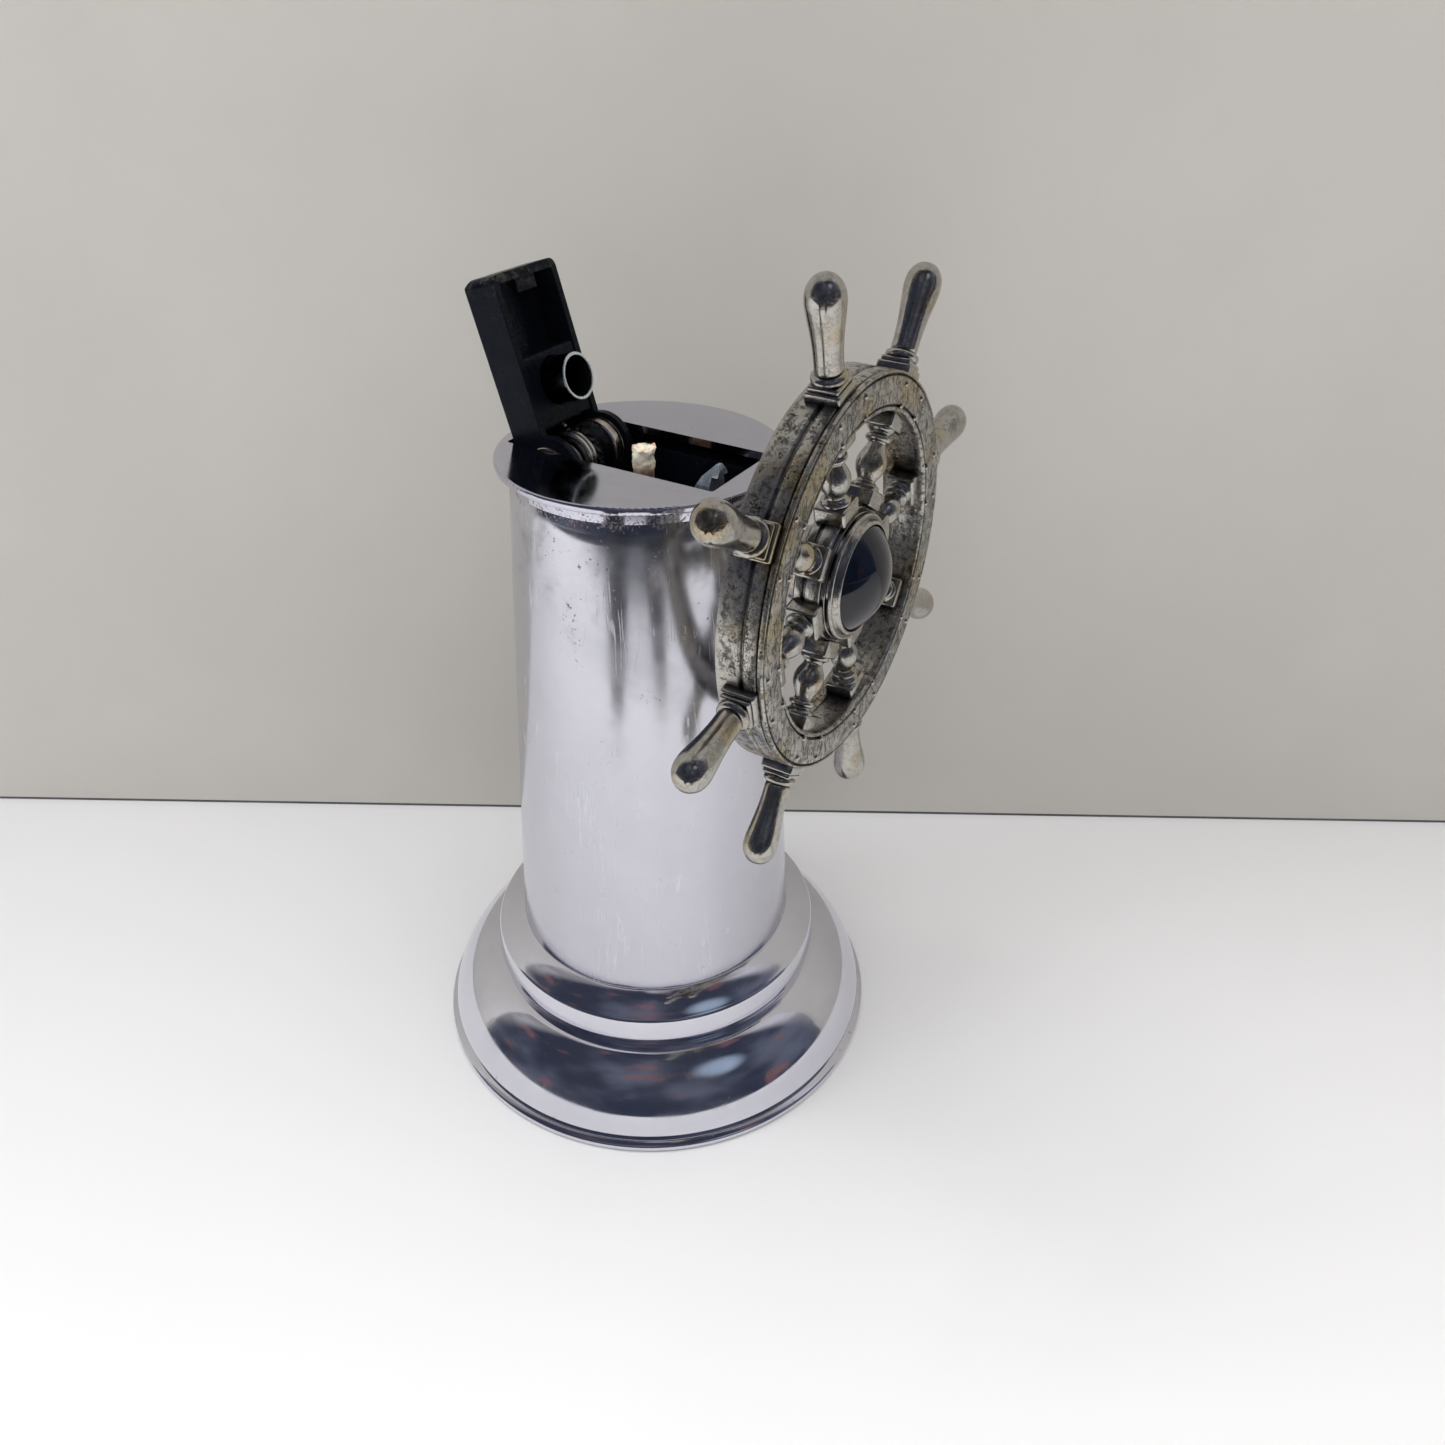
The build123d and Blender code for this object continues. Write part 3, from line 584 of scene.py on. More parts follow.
@made_once
def antique_nickel(name):
    """The rim: cast skin, and an engraved wood grain that runs up its flat faces."""
    w, sockets = start_finish(name, "antique_nickel", metallic=1.0)
    where = w.place()
    along = w.stretched(where, (1.0, 0.6, 0.16), turn_by=(0.0, math.radians(13.0), 0.0))
    lines = w.clouds(along, 4200.0, detail=2.0, roughness=0.5, distortion=0.1)
    facing = w.add("ShaderNodeNewGeometry").outputs["Normal"]
    flat = w.band(w.math("ABSOLUTE", w.split(facing)["Y"]), 0.8, 0.97)
    nickel_body(w, sockets, 0.0, w.times(w.band(lines, 0.56, 0.63), flat))


@made_once
def handled_nickel(name):
    """Handles, polished by fingers."""
    w, sockets = start_finish(name, "antique_nickel", metallic=1.0)
    nickel_body(w, sockets, 0.9, 0.0)


@made_once
def turned_nickel(name):
    """Spokes, hub and bezel: smoother than the rim, dark in their necks."""
    w, sockets = start_finish(name, "antique_nickel", metallic=1.0)
    nickel_body(w, sockets, 0.80, 0.0)


@made_once
def dark_jewel(name):
    """Polished navy-black cabochon with a clear skin."""
    w, sockets = start_finish(name, "dark_jewel", roughness=0.05)
    depth = w.clouds(w.place(), 140.0, detail=3.0, distortion=0.8)
    w.feed(sockets["Base Color"], w.blend(w.band(depth, 0.3, 0.75), colours().jewel, (0.004, 0.0065, 0.016)))
    hair = effect(w, scratch_group(), Scale=700.0, Amount=0.5)
    haze = effect(w, smudge_group(), Scale=200.0)
    rough = w.line(haze, 0.05, 0.03)
    w.feed(sockets["Roughness"], w.plus(rough, w.times(hair, 0.15)))
    sockets["Specular IOR Level"].default_value = 0.42
    sockets["Coat Weight"].default_value = 0.15
    sockets["Coat Roughness"].default_value = 0.04


@made_once
def black_moulding(name):
    """Black moulded plastic: faint blue sheen, dust in corners, grey-brown bruises on its far edge."""
    w, sockets = start_finish(name, "black_moulding", roughness=0.3)
    where = w.place()
    wear = effect(w, edge_wear_group(), Reach=0.0003, Scale=2200.0)
    dust = effect(w, speckle_group(), Scale=2600.0, Threshold=0.68, Patchiness=0.6, Contrast=12.0)
    recess = effect(w, recess_group(), Reach=0.0012, Scale=900.0, Amount=1.0)
    high = w.band(w.split(where)["Z"], 0.1215, 0.1265)
    bruise = w.times(wear, w.line(high, 0.72, 0.12))
    scuffs = w.times(high, w.band(w.clouds(where, 800.0, detail=5.0, roughness=0.7), 0.50, 0.62))
    bruise = w.larger(bruise, w.times(scuffs, 0.55))
    haze = effect(w, smudge_group(), Scale=180.0)
    tint = w.blend(w.times(haze, 0.5), colours().moulding, (0.0045, 0.0065, 0.012))
    tint = w.blend(w.times(dust, 0.22), tint, (0.08, 0.08, 0.085))
    tint = w.blend(w.times(recess, 0.12), tint, (0.03, 0.027, 0.022))
    w.feed(sockets["Base Color"], w.blend(bruise, tint, (0.10, 0.095, 0.08)))
    rough = w.line(haze, 0.18, 0.2)
    rough = w.plus(rough, w.times(dust, 0.2))
    w.feed(sockets["Roughness"], w.plus(rough, w.times(bruise, 0.35)))
    skin = w.plus(w.clouds(where, 2600.0, detail=3.0), w.times(bruise, -1.2))
    bump(w, sockets, w.plus(skin, w.clouds(where, 330.0)), 0.00003, 0.4)
    sockets["IOR"].default_value = 1.2
    sockets["Specular Tint"].default_value = (0.72, 0.84, 1.0, 1.0)


@made_once
def latch_grey(name):
    """Frosted grey moulding, paler on its worn nose."""
    w, sockets = start_finish(name, "latch_grey", roughness=0.6)
    haze = effect(w, smudge_group(), Scale=500.0)
    wear = effect(w, edge_wear_group(), Reach=0.0005, Scale=1600.0)
    grain = w.clouds(w.place(), 2400.0, detail=4.0, roughness=0.7)
    tint = w.blend(haze, (0.085, 0.105, 0.135), (0.17, 0.20, 0.24))
    tint = w.blend(w.times(w.band(grain, 0.5, 0.7), 0.5), tint, (0.34, 0.37, 0.40))
    w.feed(sockets["Base Color"], w.blend(w.times(wear, 0.7), tint, (0.42, 0.44, 0.45)))
    w.feed(sockets["Roughness"], w.line(grain, 0.3, 0.42))
    bump(w, sockets, grain, 0.00003, 0.6)


@made_once
def bright_steel(name):
    """Turned barrels: lathe lines round the pin, browned in bands."""
    w, sockets = start_finish(name, "bright_steel", metallic=1.0)
    where = w.place()
    lathe = w.clouds(w.stretched(where, (1.0, 0.03, 0.03)), 6000.0, detail=2.0)
    brown = w.band(w.clouds(where, 520.0, detail=4.0), 0.45, 0.66)
    recess = effect(w, recess_group(), Reach=0.0008, Scale=900.0, Amount=1.0)
    tint = w.blend(w.times(brown, 0.8), colours().steel, (0.22, 0.165, 0.11))
    w.feed(sockets["Base Color"], w.blend(w.times(recess, 0.85), tint, (0.035, 0.028, 0.022)))
    w.feed(sockets["Roughness"], w.line(lathe, 0.22, 0.14))
    bump(w, sockets, lathe, 0.00001, 0.5)


@made_once
def file_steel(name):
    """Hardened file steel, blue-black, brighter on its cutting points."""
    w, sockets = start_finish(name, "file_steel", metallic=1.0)
    wear = effect(w, edge_wear_group(), Reach=0.00022, Scale=2500.0)
    soot = w.clouds(w.place(), 900.0, detail=4.0)
    tint = w.blend(w.band(soot, 0.4, 0.7), (0.05, 0.055, 0.065), (0.014, 0.014, 0.016))
    w.feed(sockets["Base Color"], w.blend(w.times(wear, 0.55), tint, (0.42, 0.42, 0.44)))
    w.feed(sockets["Roughness"], w.line(soot, 0.3, 0.24))
    bump(w, sockets, soot, 0.00002, 0.4)


@made_once
def snuffer_steel(name):
    """Thin drawn steel cup: sooty outside and deep inside, bright on its rim and at its mouth."""
    w, sockets = start_finish(name, "snuffer_steel", metallic=1.0)
    where = w.place()
    opened = Matrix.Rotation(math.radians(JOINTS["lid_swing"]["range_deg"][0]), 3, "X")
    out, along = opened @ -Z_AXIS, opened @ -Y_AXIS
    wick_low, wick_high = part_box("wick")
    from_pin = w.add("ShaderNodeVectorMath", {0: where, 1: tuple(AXLE)}, operation="SUBTRACT").outputs[0]
    height = w.dot(from_pin, out)
    sideways = w.minus(w.dot(from_pin, along), AXLE.y - 0.5 * (wick_low.y + wick_high.y))
    radius = w.reach(sideways, w.split(from_pin)["X"])
    # The rim band is painted bright: partly rubbed metal, partly a painted highlight of light caught on the
    # rim.
    rim = w.band(height, 0.00370, 0.00384)
    # Painted highlight on the inner wall near the mouth, standing in for light caught inside the cup.
    mouth_highlight = w.times(w.band(height, 0.0010, 0.0034), w.band(radius, 0.0030, 0.0029))
    mottle = w.clouds(where, 700.0, detail=4.0, roughness=0.65)
    tint = w.blend(w.band(mottle, 0.46, 0.70), (0.010, 0.011, 0.013), (0.035, 0.040, 0.046))
    tint = w.blend(mouth_highlight, tint, w.blend(w.band(mottle, 0.40, 0.62), (0.52, 0.57, 0.60), (0.20, 0.20, 0.20)))
    w.feed(sockets["Base Color"], w.blend(rim, tint, (0.72, 0.79, 0.82)))
    w.feed(sockets["Roughness"], w.line(mottle, 0.25, 0.14))
    bump(w, sockets, mottle, 0.00002, 0.4)


@made_once
def cotton_wick(name):
    """Braided cotton: orange singe on top, cream below it, brown with fuel lower down."""
    w, sockets = start_finish(name, "cotton", roughness=0.95)
    where = w.place()
    parts = w.split(where)
    ragged = w.times(w.minus(w.clouds(where, 1300.0, detail=3.0), 0.5), 0.0016)
    height = w.plus(parts["Z"], ragged)
    low = w.band(height, 0.1002, 0.1022)
    tint = w.blend(low, (0.20, 0.10, 0.045), (0.84, 0.70, 0.50))
    tint = w.blend(w.band(height, 0.1016, 0.1028), tint, (0.93, 0.87, 0.73))
    singe = w.band(height, 0.10395, 0.10455)
    tint = w.blend(w.times(singe, 0.9), tint, (0.78, 0.33, 0.10))
    fibres = w.clouds(w.stretched(where, (1.0, 1.0, 0.25)), 5200.0, detail=3.0)
    dark_fibres = w.times(w.band(fibres, 0.54, 0.72), 0.35)
    w.feed(sockets["Base Color"], w.blend(dark_fibres, tint, (0.30, 0.17, 0.09)))
    sockets["Sheen Weight"].default_value = 0.3
    bump(w, sockets, fibres, 0.00008, 0.8)


@made_once
def felt(name):
    """Green wool felt, slightly fluffy."""
    w, sockets = start_finish(name, "felt", roughness=0.97)
    where = w.place()
    fibres = w.clouds(where, 3200.0, detail=6.0, roughness=0.75, distortion=1.2)
    lint = effect(w, speckle_group(), Scale=900.0, Threshold=0.70, Patchiness=0.3, Contrast=12.0)
    pale = lighter_tone(colours().felt, 2.2)
    tint = w.blend(w.band(fibres, 0.35, 0.7), colours().felt, pale)
    w.feed(sockets["Base Color"], w.blend(w.times(lint, 0.4), tint, (0.30, 0.30, 0.28)))
    sockets["Sheen Weight"].default_value = 0.4
    bump(w, sockets, fibres, 0.0001, 0.9)


def plain_metal(name, slot, tint, dark, scale, low_rough, high_rough):
    """Uneven metal for pieces inside: two tones, pits and a fine skin."""
    w, sockets = start_finish(name, slot, metallic=1.0)
    where = w.place()
    tone = w.clouds(where, scale, detail=5.0, roughness=0.62)
    pits = effect(w, speckle_group(), Scale=scale * 6.0, Threshold=0.68, Patchiness=0.4, Contrast=12.0)
    wear = effect(w, edge_wear_group(), Reach=0.0003, Scale=scale * 4.0)
    mixed = w.blend(w.band(tone, 0.42, 0.66), tint, dark)
    mixed = w.blend(w.times(pits, 0.5), mixed, [0.4 * c for c in dark])
    worn = lighter_tone(tint, 1.25)
    w.feed(sockets["Base Color"], w.blend(w.times(wear, 0.4), mixed, worn))
    span = high_rough - low_rough
    w.feed(sockets["Roughness"], w.plus(w.times(tone, span), low_rough))
    bump(w, sockets, w.minus(tone, pits), 0.00002, 0.5)


@made_once
def screw_steel(name):
    plain_metal(name, "screw_steel", (0.60, 0.60, 0.60), (0.34, 0.34, 0.33), 300.0, 0.15, 0.5)


@made_once
def tube_brass(name):
    plain_metal(name, "tube_brass", colours().brass, (0.42, 0.27, 0.11), 260.0, 0.12, 0.5)


@made_once
def bush_chrome(name):
    plain_metal(name, "bush_chrome", (0.60, 0.60, 0.62), (0.16, 0.15, 0.14), 240.0, 0.08, 0.4)


@made_once
def spring_steel(name):
    plain_metal(name, "spring_steel", (0.46, 0.46, 0.47), (0.16, 0.13, 0.11), 500.0, 0.2, 0.5)


@made_once
def tank_tin(name):
    plain_metal(name, "tank_tin", (0.62, 0.62, 0.60), (0.40, 0.40, 0.38), 150.0, 0.2, 0.55)


@made_once
def ballast_iron(name):
    plain_metal(name, "ballast_iron", (0.16, 0.16, 0.17), (0.07, 0.06, 0.055), 220.0, 0.5, 0.85)


@made_once
def flint_grey(name):
    plain_metal(name, "flint", (0.14, 0.14, 0.15), (0.05, 0.05, 0.05), 600.0, 0.4, 0.8)


@made_once
def cotton_wool(name):
    """Loose packing in the tank."""
    w, sockets = start_finish(name, "cotton", roughness=0.98)
    tufts = w.clouds(w.place(), 420.0, detail=7.0, roughness=0.7, distortion=1.5)
    w.feed(sockets["Base Color"], w.blend(w.band(tufts, 0.3, 0.7), (0.62, 0.55, 0.42), (0.85, 0.82, 0.75)))
    bump(w, sockets, tufts, 0.0005, 0.8)


# ---------------------------------------------------------------- stand
def build_base():
    steps = sizes().turned_steps
    rim = sizes().base_radius / MM
    outline = [(31.0, 1.0), (36.9, 1.0), (36.9, 0.3), (rim - 0.15, 0.3), (rim, 0.45), (rim, 1.0)]
    outline += [(rim - 0.1, 1.14), (rim - 0.3, 1.3), (36.5, 1.55), (36.46, 1.8), (36.5, 2.1), (36.8, 2.42)]
    outline += [(36.96, 2.56)] + arc((37.02, 2.75), (33.2, 9.88), (28.62, 12.93), 40)
    outline += [(27.4, 13.1), (27.36, 13.3), (27.4, 13.55), (27.72, 14.4), (27.92, 14.85), (27.98, 15.15)]
    outline += arc((27.97, 15.4), (27.9, 17.2), (27.73, 18.6), 5)
    outline += arc((27.69, 18.8), (27.5, 19.15), (27.2, 19.39), 6)
    outline += arc((26.9, 19.61), (25.3, 20.75), (23.15, 21.77), 14)
    outline += [(21.6, 21.8), (21.6, 26.5), (21.1, 27.0), (20.3, 27.0), (20.3, 11.0), (25.9, 11.0)]
    outline += [(27.0, 6.0), (29.6, 2.3)]
    bm = turned(outline, "Z", Vector((0, 0, 0)), steps)
    place(bm, "turned_base", "stand", base_chrome(), ("base",), sharp=40.0)


def build_base_pad():
    piece = place(from_frame("base_pad"), "felt_pad", "stand", felt(), ("base_pad",))
    worn_edges(piece, 0.00025, segments=2)


def build_column():
    low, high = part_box("column")
    foot, top = sizes().column_foot_radius / MM, sizes().column_top_radius / MM
    z0, z1 = low.z / MM, high.z / MM
    wall, seat_radius, seat_depth, rings = 1.0, 17.75, 4.0, 24
    outline = [(foot - 0.12, z0), (foot, z0 + 0.12)]
    for i in range(1, rings):
        share = i / rings
        outline.append((foot + (top - foot) * share, z0 + (z1 - z0) * share))
    outline += [(top, z1 - 0.15), (top - 0.12, z1), (seat_radius, z1), (seat_radius, z1 - seat_depth)]
    outline += [(top - wall + 0.24, z1 - seat_depth), (foot - wall, z0)]
    bm = turned(outline, "Z", Vector((0, 0, 0)), sizes().turned_steps)
    piece = place(bm, "tapered_column", "stand", column_chrome(), ("column",), sharp=40.0)
    bore_shaft_hole(piece)


def bore_shaft_hole(piece):
    """Cuts the hole that the wheel's bush passes through."""
    middle_y, radius, depth = -0.020, 0.00365, 0.016
    bm = bmesh.new()
    lie_down = Matrix.Translation((0.0, middle_y, SHAFT.z)) @ Matrix.Rotation(math.radians(90.0), 4, "X")
    bmesh.ops.create_cone(bm, cap_ends=True, cap_tris=False, segments=48, radius1=radius, radius2=radius,
                          depth=depth, matrix=lie_down)
    mesh = bpy.data.meshes.new("drill")
    bm.to_mesh(mesh)
    bm.free()
    drill = bpy.data.objects.new("drill", mesh)
    bpy.context.scene.collection.objects.link(drill)
    cut = piece.modifiers.new("shaft hole", "BOOLEAN")
    cut.operation = "DIFFERENCE"
    cut.solver = "EXACT"
    cut.object = drill
    bored = bpy.data.meshes.new_from_object(piece.evaluated_get(bpy.context.evaluated_depsgraph_get()))
    piece.modifiers.remove(cut)
    piece.data = bored
    bpy.data.objects.remove(drill)
    bored.set_sharp_from_angle(angle=math.radians(40.0))


def build_top_plate():
    piece = place(from_frame("top_plate"), "slotted_plate", "stand", plate_chrome(), ("top_plate",),
                  sharp=40.0)
    worn_edges(piece, 0.00012, segments=2, angle=40.0)


def build_mechanism_frame():
    piece = place(from_frame("mechanism_frame"), "moulded_frame", "stand", black_moulding(),
                  ("mechanism_frame",))
    worn_edges(piece, 0.00015, segments=2)


# ---------------------------------------------------------------- wick
def build_wick():
    """A plaited cord, pulled up ring by ring, that frays into a tuft."""
    low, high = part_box("wick")
    centre = upright_centre(low, high)
    radius = 0.5 * (high.x - low.x) - 0.00012
    tuft_from = high.z - 0.0045
    bm = bmesh.new()
    turn_count, plait = 32, 0.0021
    heights = [low.z + (tuft_from - low.z) * i / 60.0 for i in range(60)]
    heights += [tuft_from + (high.z - 0.0002 - tuft_from) * i / 22.0 for i in range(23)]
    ring = bmesh.ops.create_circle(bm, cap_ends=True, segments=turn_count, radius=radius)
    bmesh.ops.translate(bm, vec=centre + Vector((0, 0, low.z)), verts=ring["verts"])
    top = bm.faces[:]
    for lower, upper in zip(heights, heights[1:]):
        made = bmesh.ops.extrude_face_region(bm, geom=top)
        verts = [g for g in made["geom"] if isinstance(g, bmesh.types.BMVert)]
        bmesh.ops.translate(bm, vec=(0, 0, upper - lower), verts=verts)
        if lower > low.z + 1e-9:
            bmesh.ops.delete(bm, geom=top, context="FACES_ONLY")
        top = [g for g in made["geom"] if isinstance(g, bmesh.types.BMFace)]
    made = bmesh.ops.poke(bm, faces=top)
    made["verts"][0].co.z -= 0.0004
    bmesh.ops.subdivide_edges(bm, edges=list(made["verts"][0].link_edges), cuts=3, use_grid_fill=True)
    for vert in bm.verts:
        out = vert.co - centre
        out.z = 0.0
        if out.length < 1e-5:
            continue
        angle = math.atan2(out.y, out.x)
        along = math.tau * vert.co.z / plait
        strand = math.cos(4.0 * angle + along) + math.cos(4.0 * angle - along)
        fray = min(1.0, max(0.0, (vert.co.z - tuft_from) / 0.0035))
        lump = noise.noise(vert.co * 900.0) * 0.55 + noise.noise(vert.co * 2600.0) * 0.3
        swell = 1.0 + 0.035 * strand * (1.0 - fray) + fray * (0.16 + 0.55 * lump)
        vert.co.x = centre.x + out.x * swell
        vert.co.y = centre.y + out.y * swell
        if fray > 0.6:
            vert.co.z += (fray - 0.6) * 0.0016 * noise.noise(vert.co * 1500.0)
    tidy(bm)
    place(bm, "braided_wick", "stand", cotton_wick(), ("wick",), sharp=180.0)


def build_tubes():
    for node, name, bore in (("wick_tube", "drawn_wick_tube", 1.55), ("flint_tube", "drawn_flint_tube", 1.4)):
        low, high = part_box(node)
        outer = 0.5 * (high.x - low.x) / MM
        z0, z1 = low.z / MM, high.z / MM
        bm = turned([(bore, z0), (outer, z0), (outer, z1), (bore, z1)], "Z", upright_centre(low, high), 40,
                    soften=0.00008)
        place(bm, name, "stand", tube_brass(), (node,))


# ---------------------------------------------------------------- hinge row
def build_hinge_row():
    bore = 1.2
    grooved = ((3.72, 0.0), (4.0, 0.22), (4.0, 0.62), (3.8, 0.74), (3.8, 0.92), (4.0, 1.04), (4.0, 1.48),
               (3.75, 1.7))
    smooth = ((3.75, 0.0), (4.0, 0.25), (4.0, 1.45), (3.75, 1.7))
    for node, name, skin in (("left_spacer", "left_barrel", grooved),
                             ("right_spacer", "right_barrel", smooth)):
        x0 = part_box(node)[0].x / MM - AXLE.x / MM
        outline = [(bore, x0)] + [(r, x0 + x) for r, x in skin] + [(bore, x0 + skin[-1][1])]
        bm = turned(outline, "X", AXLE, 64, soften=0.00005, sharper=0.4)
        place(bm, name, "stand", bright_steel(), (node,))
    parts, rim = [], 0.1
    for radius, x0, x1 in ((3.4, -7.5, -6.9), (4.0, 5.0, 5.35), (3.4, 6.9, 7.5)):
        outline = [(bore, x0), (radius - rim, x0), (radius, x0 + rim), (radius, x1 - rim), (radius - rim, x1),
                   (bore, x1)]
        parts.append(turned(outline, "X", AXLE, 64))
    place(joined(*parts), "thin_washers", "stand", bright_steel(), ("axle_washers",))
    pin_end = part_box("hinge_pin")[1].x / MM
    outline = [(0.0, -pin_end), (1.0, -pin_end), (bore, 0.2 - pin_end), (bore, pin_end - 0.2), (1.0, pin_end),
               (0.0, pin_end)]
    place(turned(outline, "X", AXLE, 40, closed=False), "turned_pin", "stand", bright_steel(), ("hinge_pin",))


def build_spark_wheel():
    """A file-cut wheel: two crossed sets of grooves leave rows of small points."""
    low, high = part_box("spark_wheel")
    tip = 0.5 * (high.z - low.z)
    root = tip * 0.90
    rows, count = 13, 66
    bm = bmesh.new()
    stand_up = Matrix.Translation((low.x, AXLE.y, AXLE.z)) @ Matrix.Rotation(math.radians(90.0), 4, "Y")
    bmesh.ops.create_circle(bm, cap_ends=True, segments=count, radius=root, matrix=stand_up)
    bmesh.ops.inset_region(bm, faces=bm.faces[:], thickness=tip * 0.5, use_even_offset=True)
    width = (high.x - low.x) / (rows - 1)
    edge = [e for e in bm.edges if e.is_boundary]
    for row in range(rows - 1):
        made = bmesh.ops.extrude_edge_only(bm, edges=edge)
        verts = [g for g in made["geom"] if isinstance(g, bmesh.types.BMVert)]
        edge = [g for g in made["geom"] if isinstance(g, bmesh.types.BMEdge) and g.is_boundary]
        bmesh.ops.translate(bm, vec=(width, 0, 0), verts=verts)
    bmesh.ops.contextual_create(bm, geom=edge)
    for vert in bm.verts:
        row = round((vert.co.x - low.x) / width)
        out = vert.co - AXLE
        out.x = 0.0
        if out.length < tip * 0.8 or row in (0, rows - 1):
            continue
        step = round(math.atan2(out.z, out.y) / math.tau * count)
        reach = tip if (row + step) % 2 else root
        vert.co.y = AXLE.y + out.normalized().y * reach
        vert.co.z = AXLE.z + out.normalized().z * reach
    bmesh.ops.recalc_face_normals(bm, faces=bm.faces[:])
    place(bm, "file_cut_wheel", "spark_wheel", file_steel(), ("spark_wheel",), sharp=20.0)
    piece = place(from_frame("ratchet_wheel"), "ratchet_disc", "spark_wheel", file_steel(),
                  ("ratchet_wheel",))
    worn_edges(piece, 0.00004, segments=2)


# ---------------------------------------------------------------- lid
def build_lid():
    for node, name, finish, softness, segments in (
            ("lid_shell", "moulded_lid", black_moulding, 0.00026, 3),
            ("lid_block", "raised_block", black_moulding, 0.0003, 3),
            ("snuffer_cup", "drawn_snuffer", snuffer_steel, 0.00012, 3),
            ("drive_pawl", "pawl_finger", spring_steel, 0.00004, 2)):
        piece = place(from_frame(node), name, "lid", finish(), (node,))
        worn_edges(piece, softness, segments=segments)


def build_latch():
    lever = place(from_frame("latch_lever"), "latch_hook", "latch", latch_grey(), ("latch_lever",))
    worn_edges(lever, 0.00022, segments=3)


# ---------------------------------------------------------------- ship's wheel
def build_rim():
    outer, bore = sizes().rim_radius / MM, sizes().rim_bore / MM
    front, back = WHEEL_FRONT - WHEEL_MID_Y / MM, WHEEL_BACK - WHEEL_MID_Y / MM
    outline = [(bore, back + 0.45), (bore + 0.18, back + 0.12), (bore + 0.45, back),
               (bore + 0.75, back + 0.28), (bore + 0.95, back + 0.02),
               (outer - 0.95, back + 0.02), (outer - 0.75, back + 0.28),
               (outer - 0.45, back), (outer - 0.12, back + 0.12), (outer, back + 0.45),
               (outer, 0.42), (outer - 0.16, 0.26), (outer - 0.44, 0.08), (outer - 0.44, -0.08),
               (outer - 0.16, -0.26), (outer, -0.42),
               (outer, front + 1.05), (outer - 0.3, front + 0.92), (outer - 0.3, front + 0.84),
               (outer, front + 0.7), (outer, front + 0.3), (outer - 0.14, front + 0.1),
               (outer - 0.32, front + 0.08), (outer - 0.46, front + 0.42), (outer - 0.58, front + 0.42),
               (outer - 0.70, front + 0.02), (bore + 0.96, front), (bore + 0.86, front + 0.38),
               (bore + 0.70, front + 0.38), (bore + 0.56, front + 0.10), (bore + 0.36, front + 0.02),
               (bore + 0.12, front + 0.18), (bore, front + 0.5), (bore, front + 1.5),
               (bore + 0.22, front + 1.62), (bore + 0.22, back - 1.6), (bore, back - 1.45)]
    bm = turned(outline, "Y", WHEEL_CENTRE, sizes().turned_steps, soften=0.00006, sharper=0.45)
    place(bm, "cast_rim", "ship_wheel", antique_nickel(), ("wheel_rim",), sharp=50.0)


def build_rivets():
    """Four domed rivets round the end of each spoke."""
    rings, spread = (0.0249, 0.0222), math.radians(7.9)
    head, sunk, flatness = 0.00046, 0.00006, 0.72
    bm = bmesh.new()
    for i in range(SPOKE_COUNT):
        for side in (-1, 1):
            for radius in rings:
                angle = sizes().first_spoke - math.tau * i / SPOKE_COUNT + side * spread
                spot = WHEEL_CENTRE + Vector((radius * math.cos(angle), 0, radius * math.sin(angle)))
                spot.y = RIM_LOW.y + sunk
                flatten = Matrix.Translation(spot) @ Matrix.Diagonal((1.0, flatness, 1.0, 1.0))
                bmesh.ops.create_uvsphere(bm, u_segments=16, v_segments=10, radius=head, matrix=flatten)
    place(bm, "domed_rivets", "ship_wheel", turned_nickel(), ("wheel_rivets",), sharp=80.0)


def spoke_bmesh():
    """A baluster between two blocks, along +X from the wheel's centre."""
    hub, bore = sizes().hub_radius / MM, sizes().rim_bore / MM
    knots = [(11.0, 0.0), (11.0, 1.85), (11.45, 1.95), (11.75, 1.9), (12.0, 1.5), (12.35, 1.25),
             (12.8, 1.42), (13.6, 1.85), (14.6, 2.06), (15.6, 1.86), (16.5, 1.42), (17.15, 1.16),
             (17.4, 1.25), (17.6, 1.62), (17.9, 1.76), (18.2, 1.66), (18.4, 1.36), (18.65, 1.4),
             (19.0, 1.78), (19.4, 1.85), (19.6, 0.0)]
    outline = [(r, x) for x, r in knots[:2]]
    outline += [(r, x) for x, r in curve(knots[2:-1], 3)]
    outline.append((0.0, knots[-1][0]))
    baluster = turned(outline, "X", Vector((0, 0, 0)), 40, closed=False)
    blocks = bmesh.new()
    add_block(blocks, (hub - 0.5, -2.2, -2.2), (11.3, 2.2, 2.2), soften=0.00038)
    add_block(blocks, (19.25, -2.1, -2.2), (bore + 0.6, 2.1, 2.2), soften=0.00038)
    return joined(baluster, blocks)


def handle_bmesh():
    """A club grip on a collar and two blocks, along +X outside the rim."""
    outer = sizes().rim_radius / MM
    club = [(29.25, 1.72), (29.6, 1.86), (30.6, 1.86), (32.2, 1.92), (34.4, 2.14), (36.3, 2.42), (37.8, 2.55),
            (39.1, 2.34), (40.1, 1.66), (40.56, 0.9), (40.7, 0.0)]
    collar = [(0.0, 28.0), (1.9, 28.0), (2.25, 28.25), (2.38, 28.6), (2.3, 28.95), (1.95, 29.18)]
    outline = collar + [(r, x) for x, r in curve(club, 4)]
    outline[-1] = (0.0, club[-1][0])
    grip = turned(outline, "X", Vector((0, 0, 0)), 48, closed=False)
    bmesh.ops.scale(grip, vec=(1.0, 0.93, 1.0), verts=grip.verts[:])
    blocks = bmesh.new()
    add_block(blocks, (outer - 0.45, -2.3, -2.35), (27.45, 2.3, 2.35), soften=0.0003)
    add_block(blocks, (27.35, -2.02, -2.1), (28.15, 2.02, 2.1), soften=0.0003)
    return joined(grip, blocks)


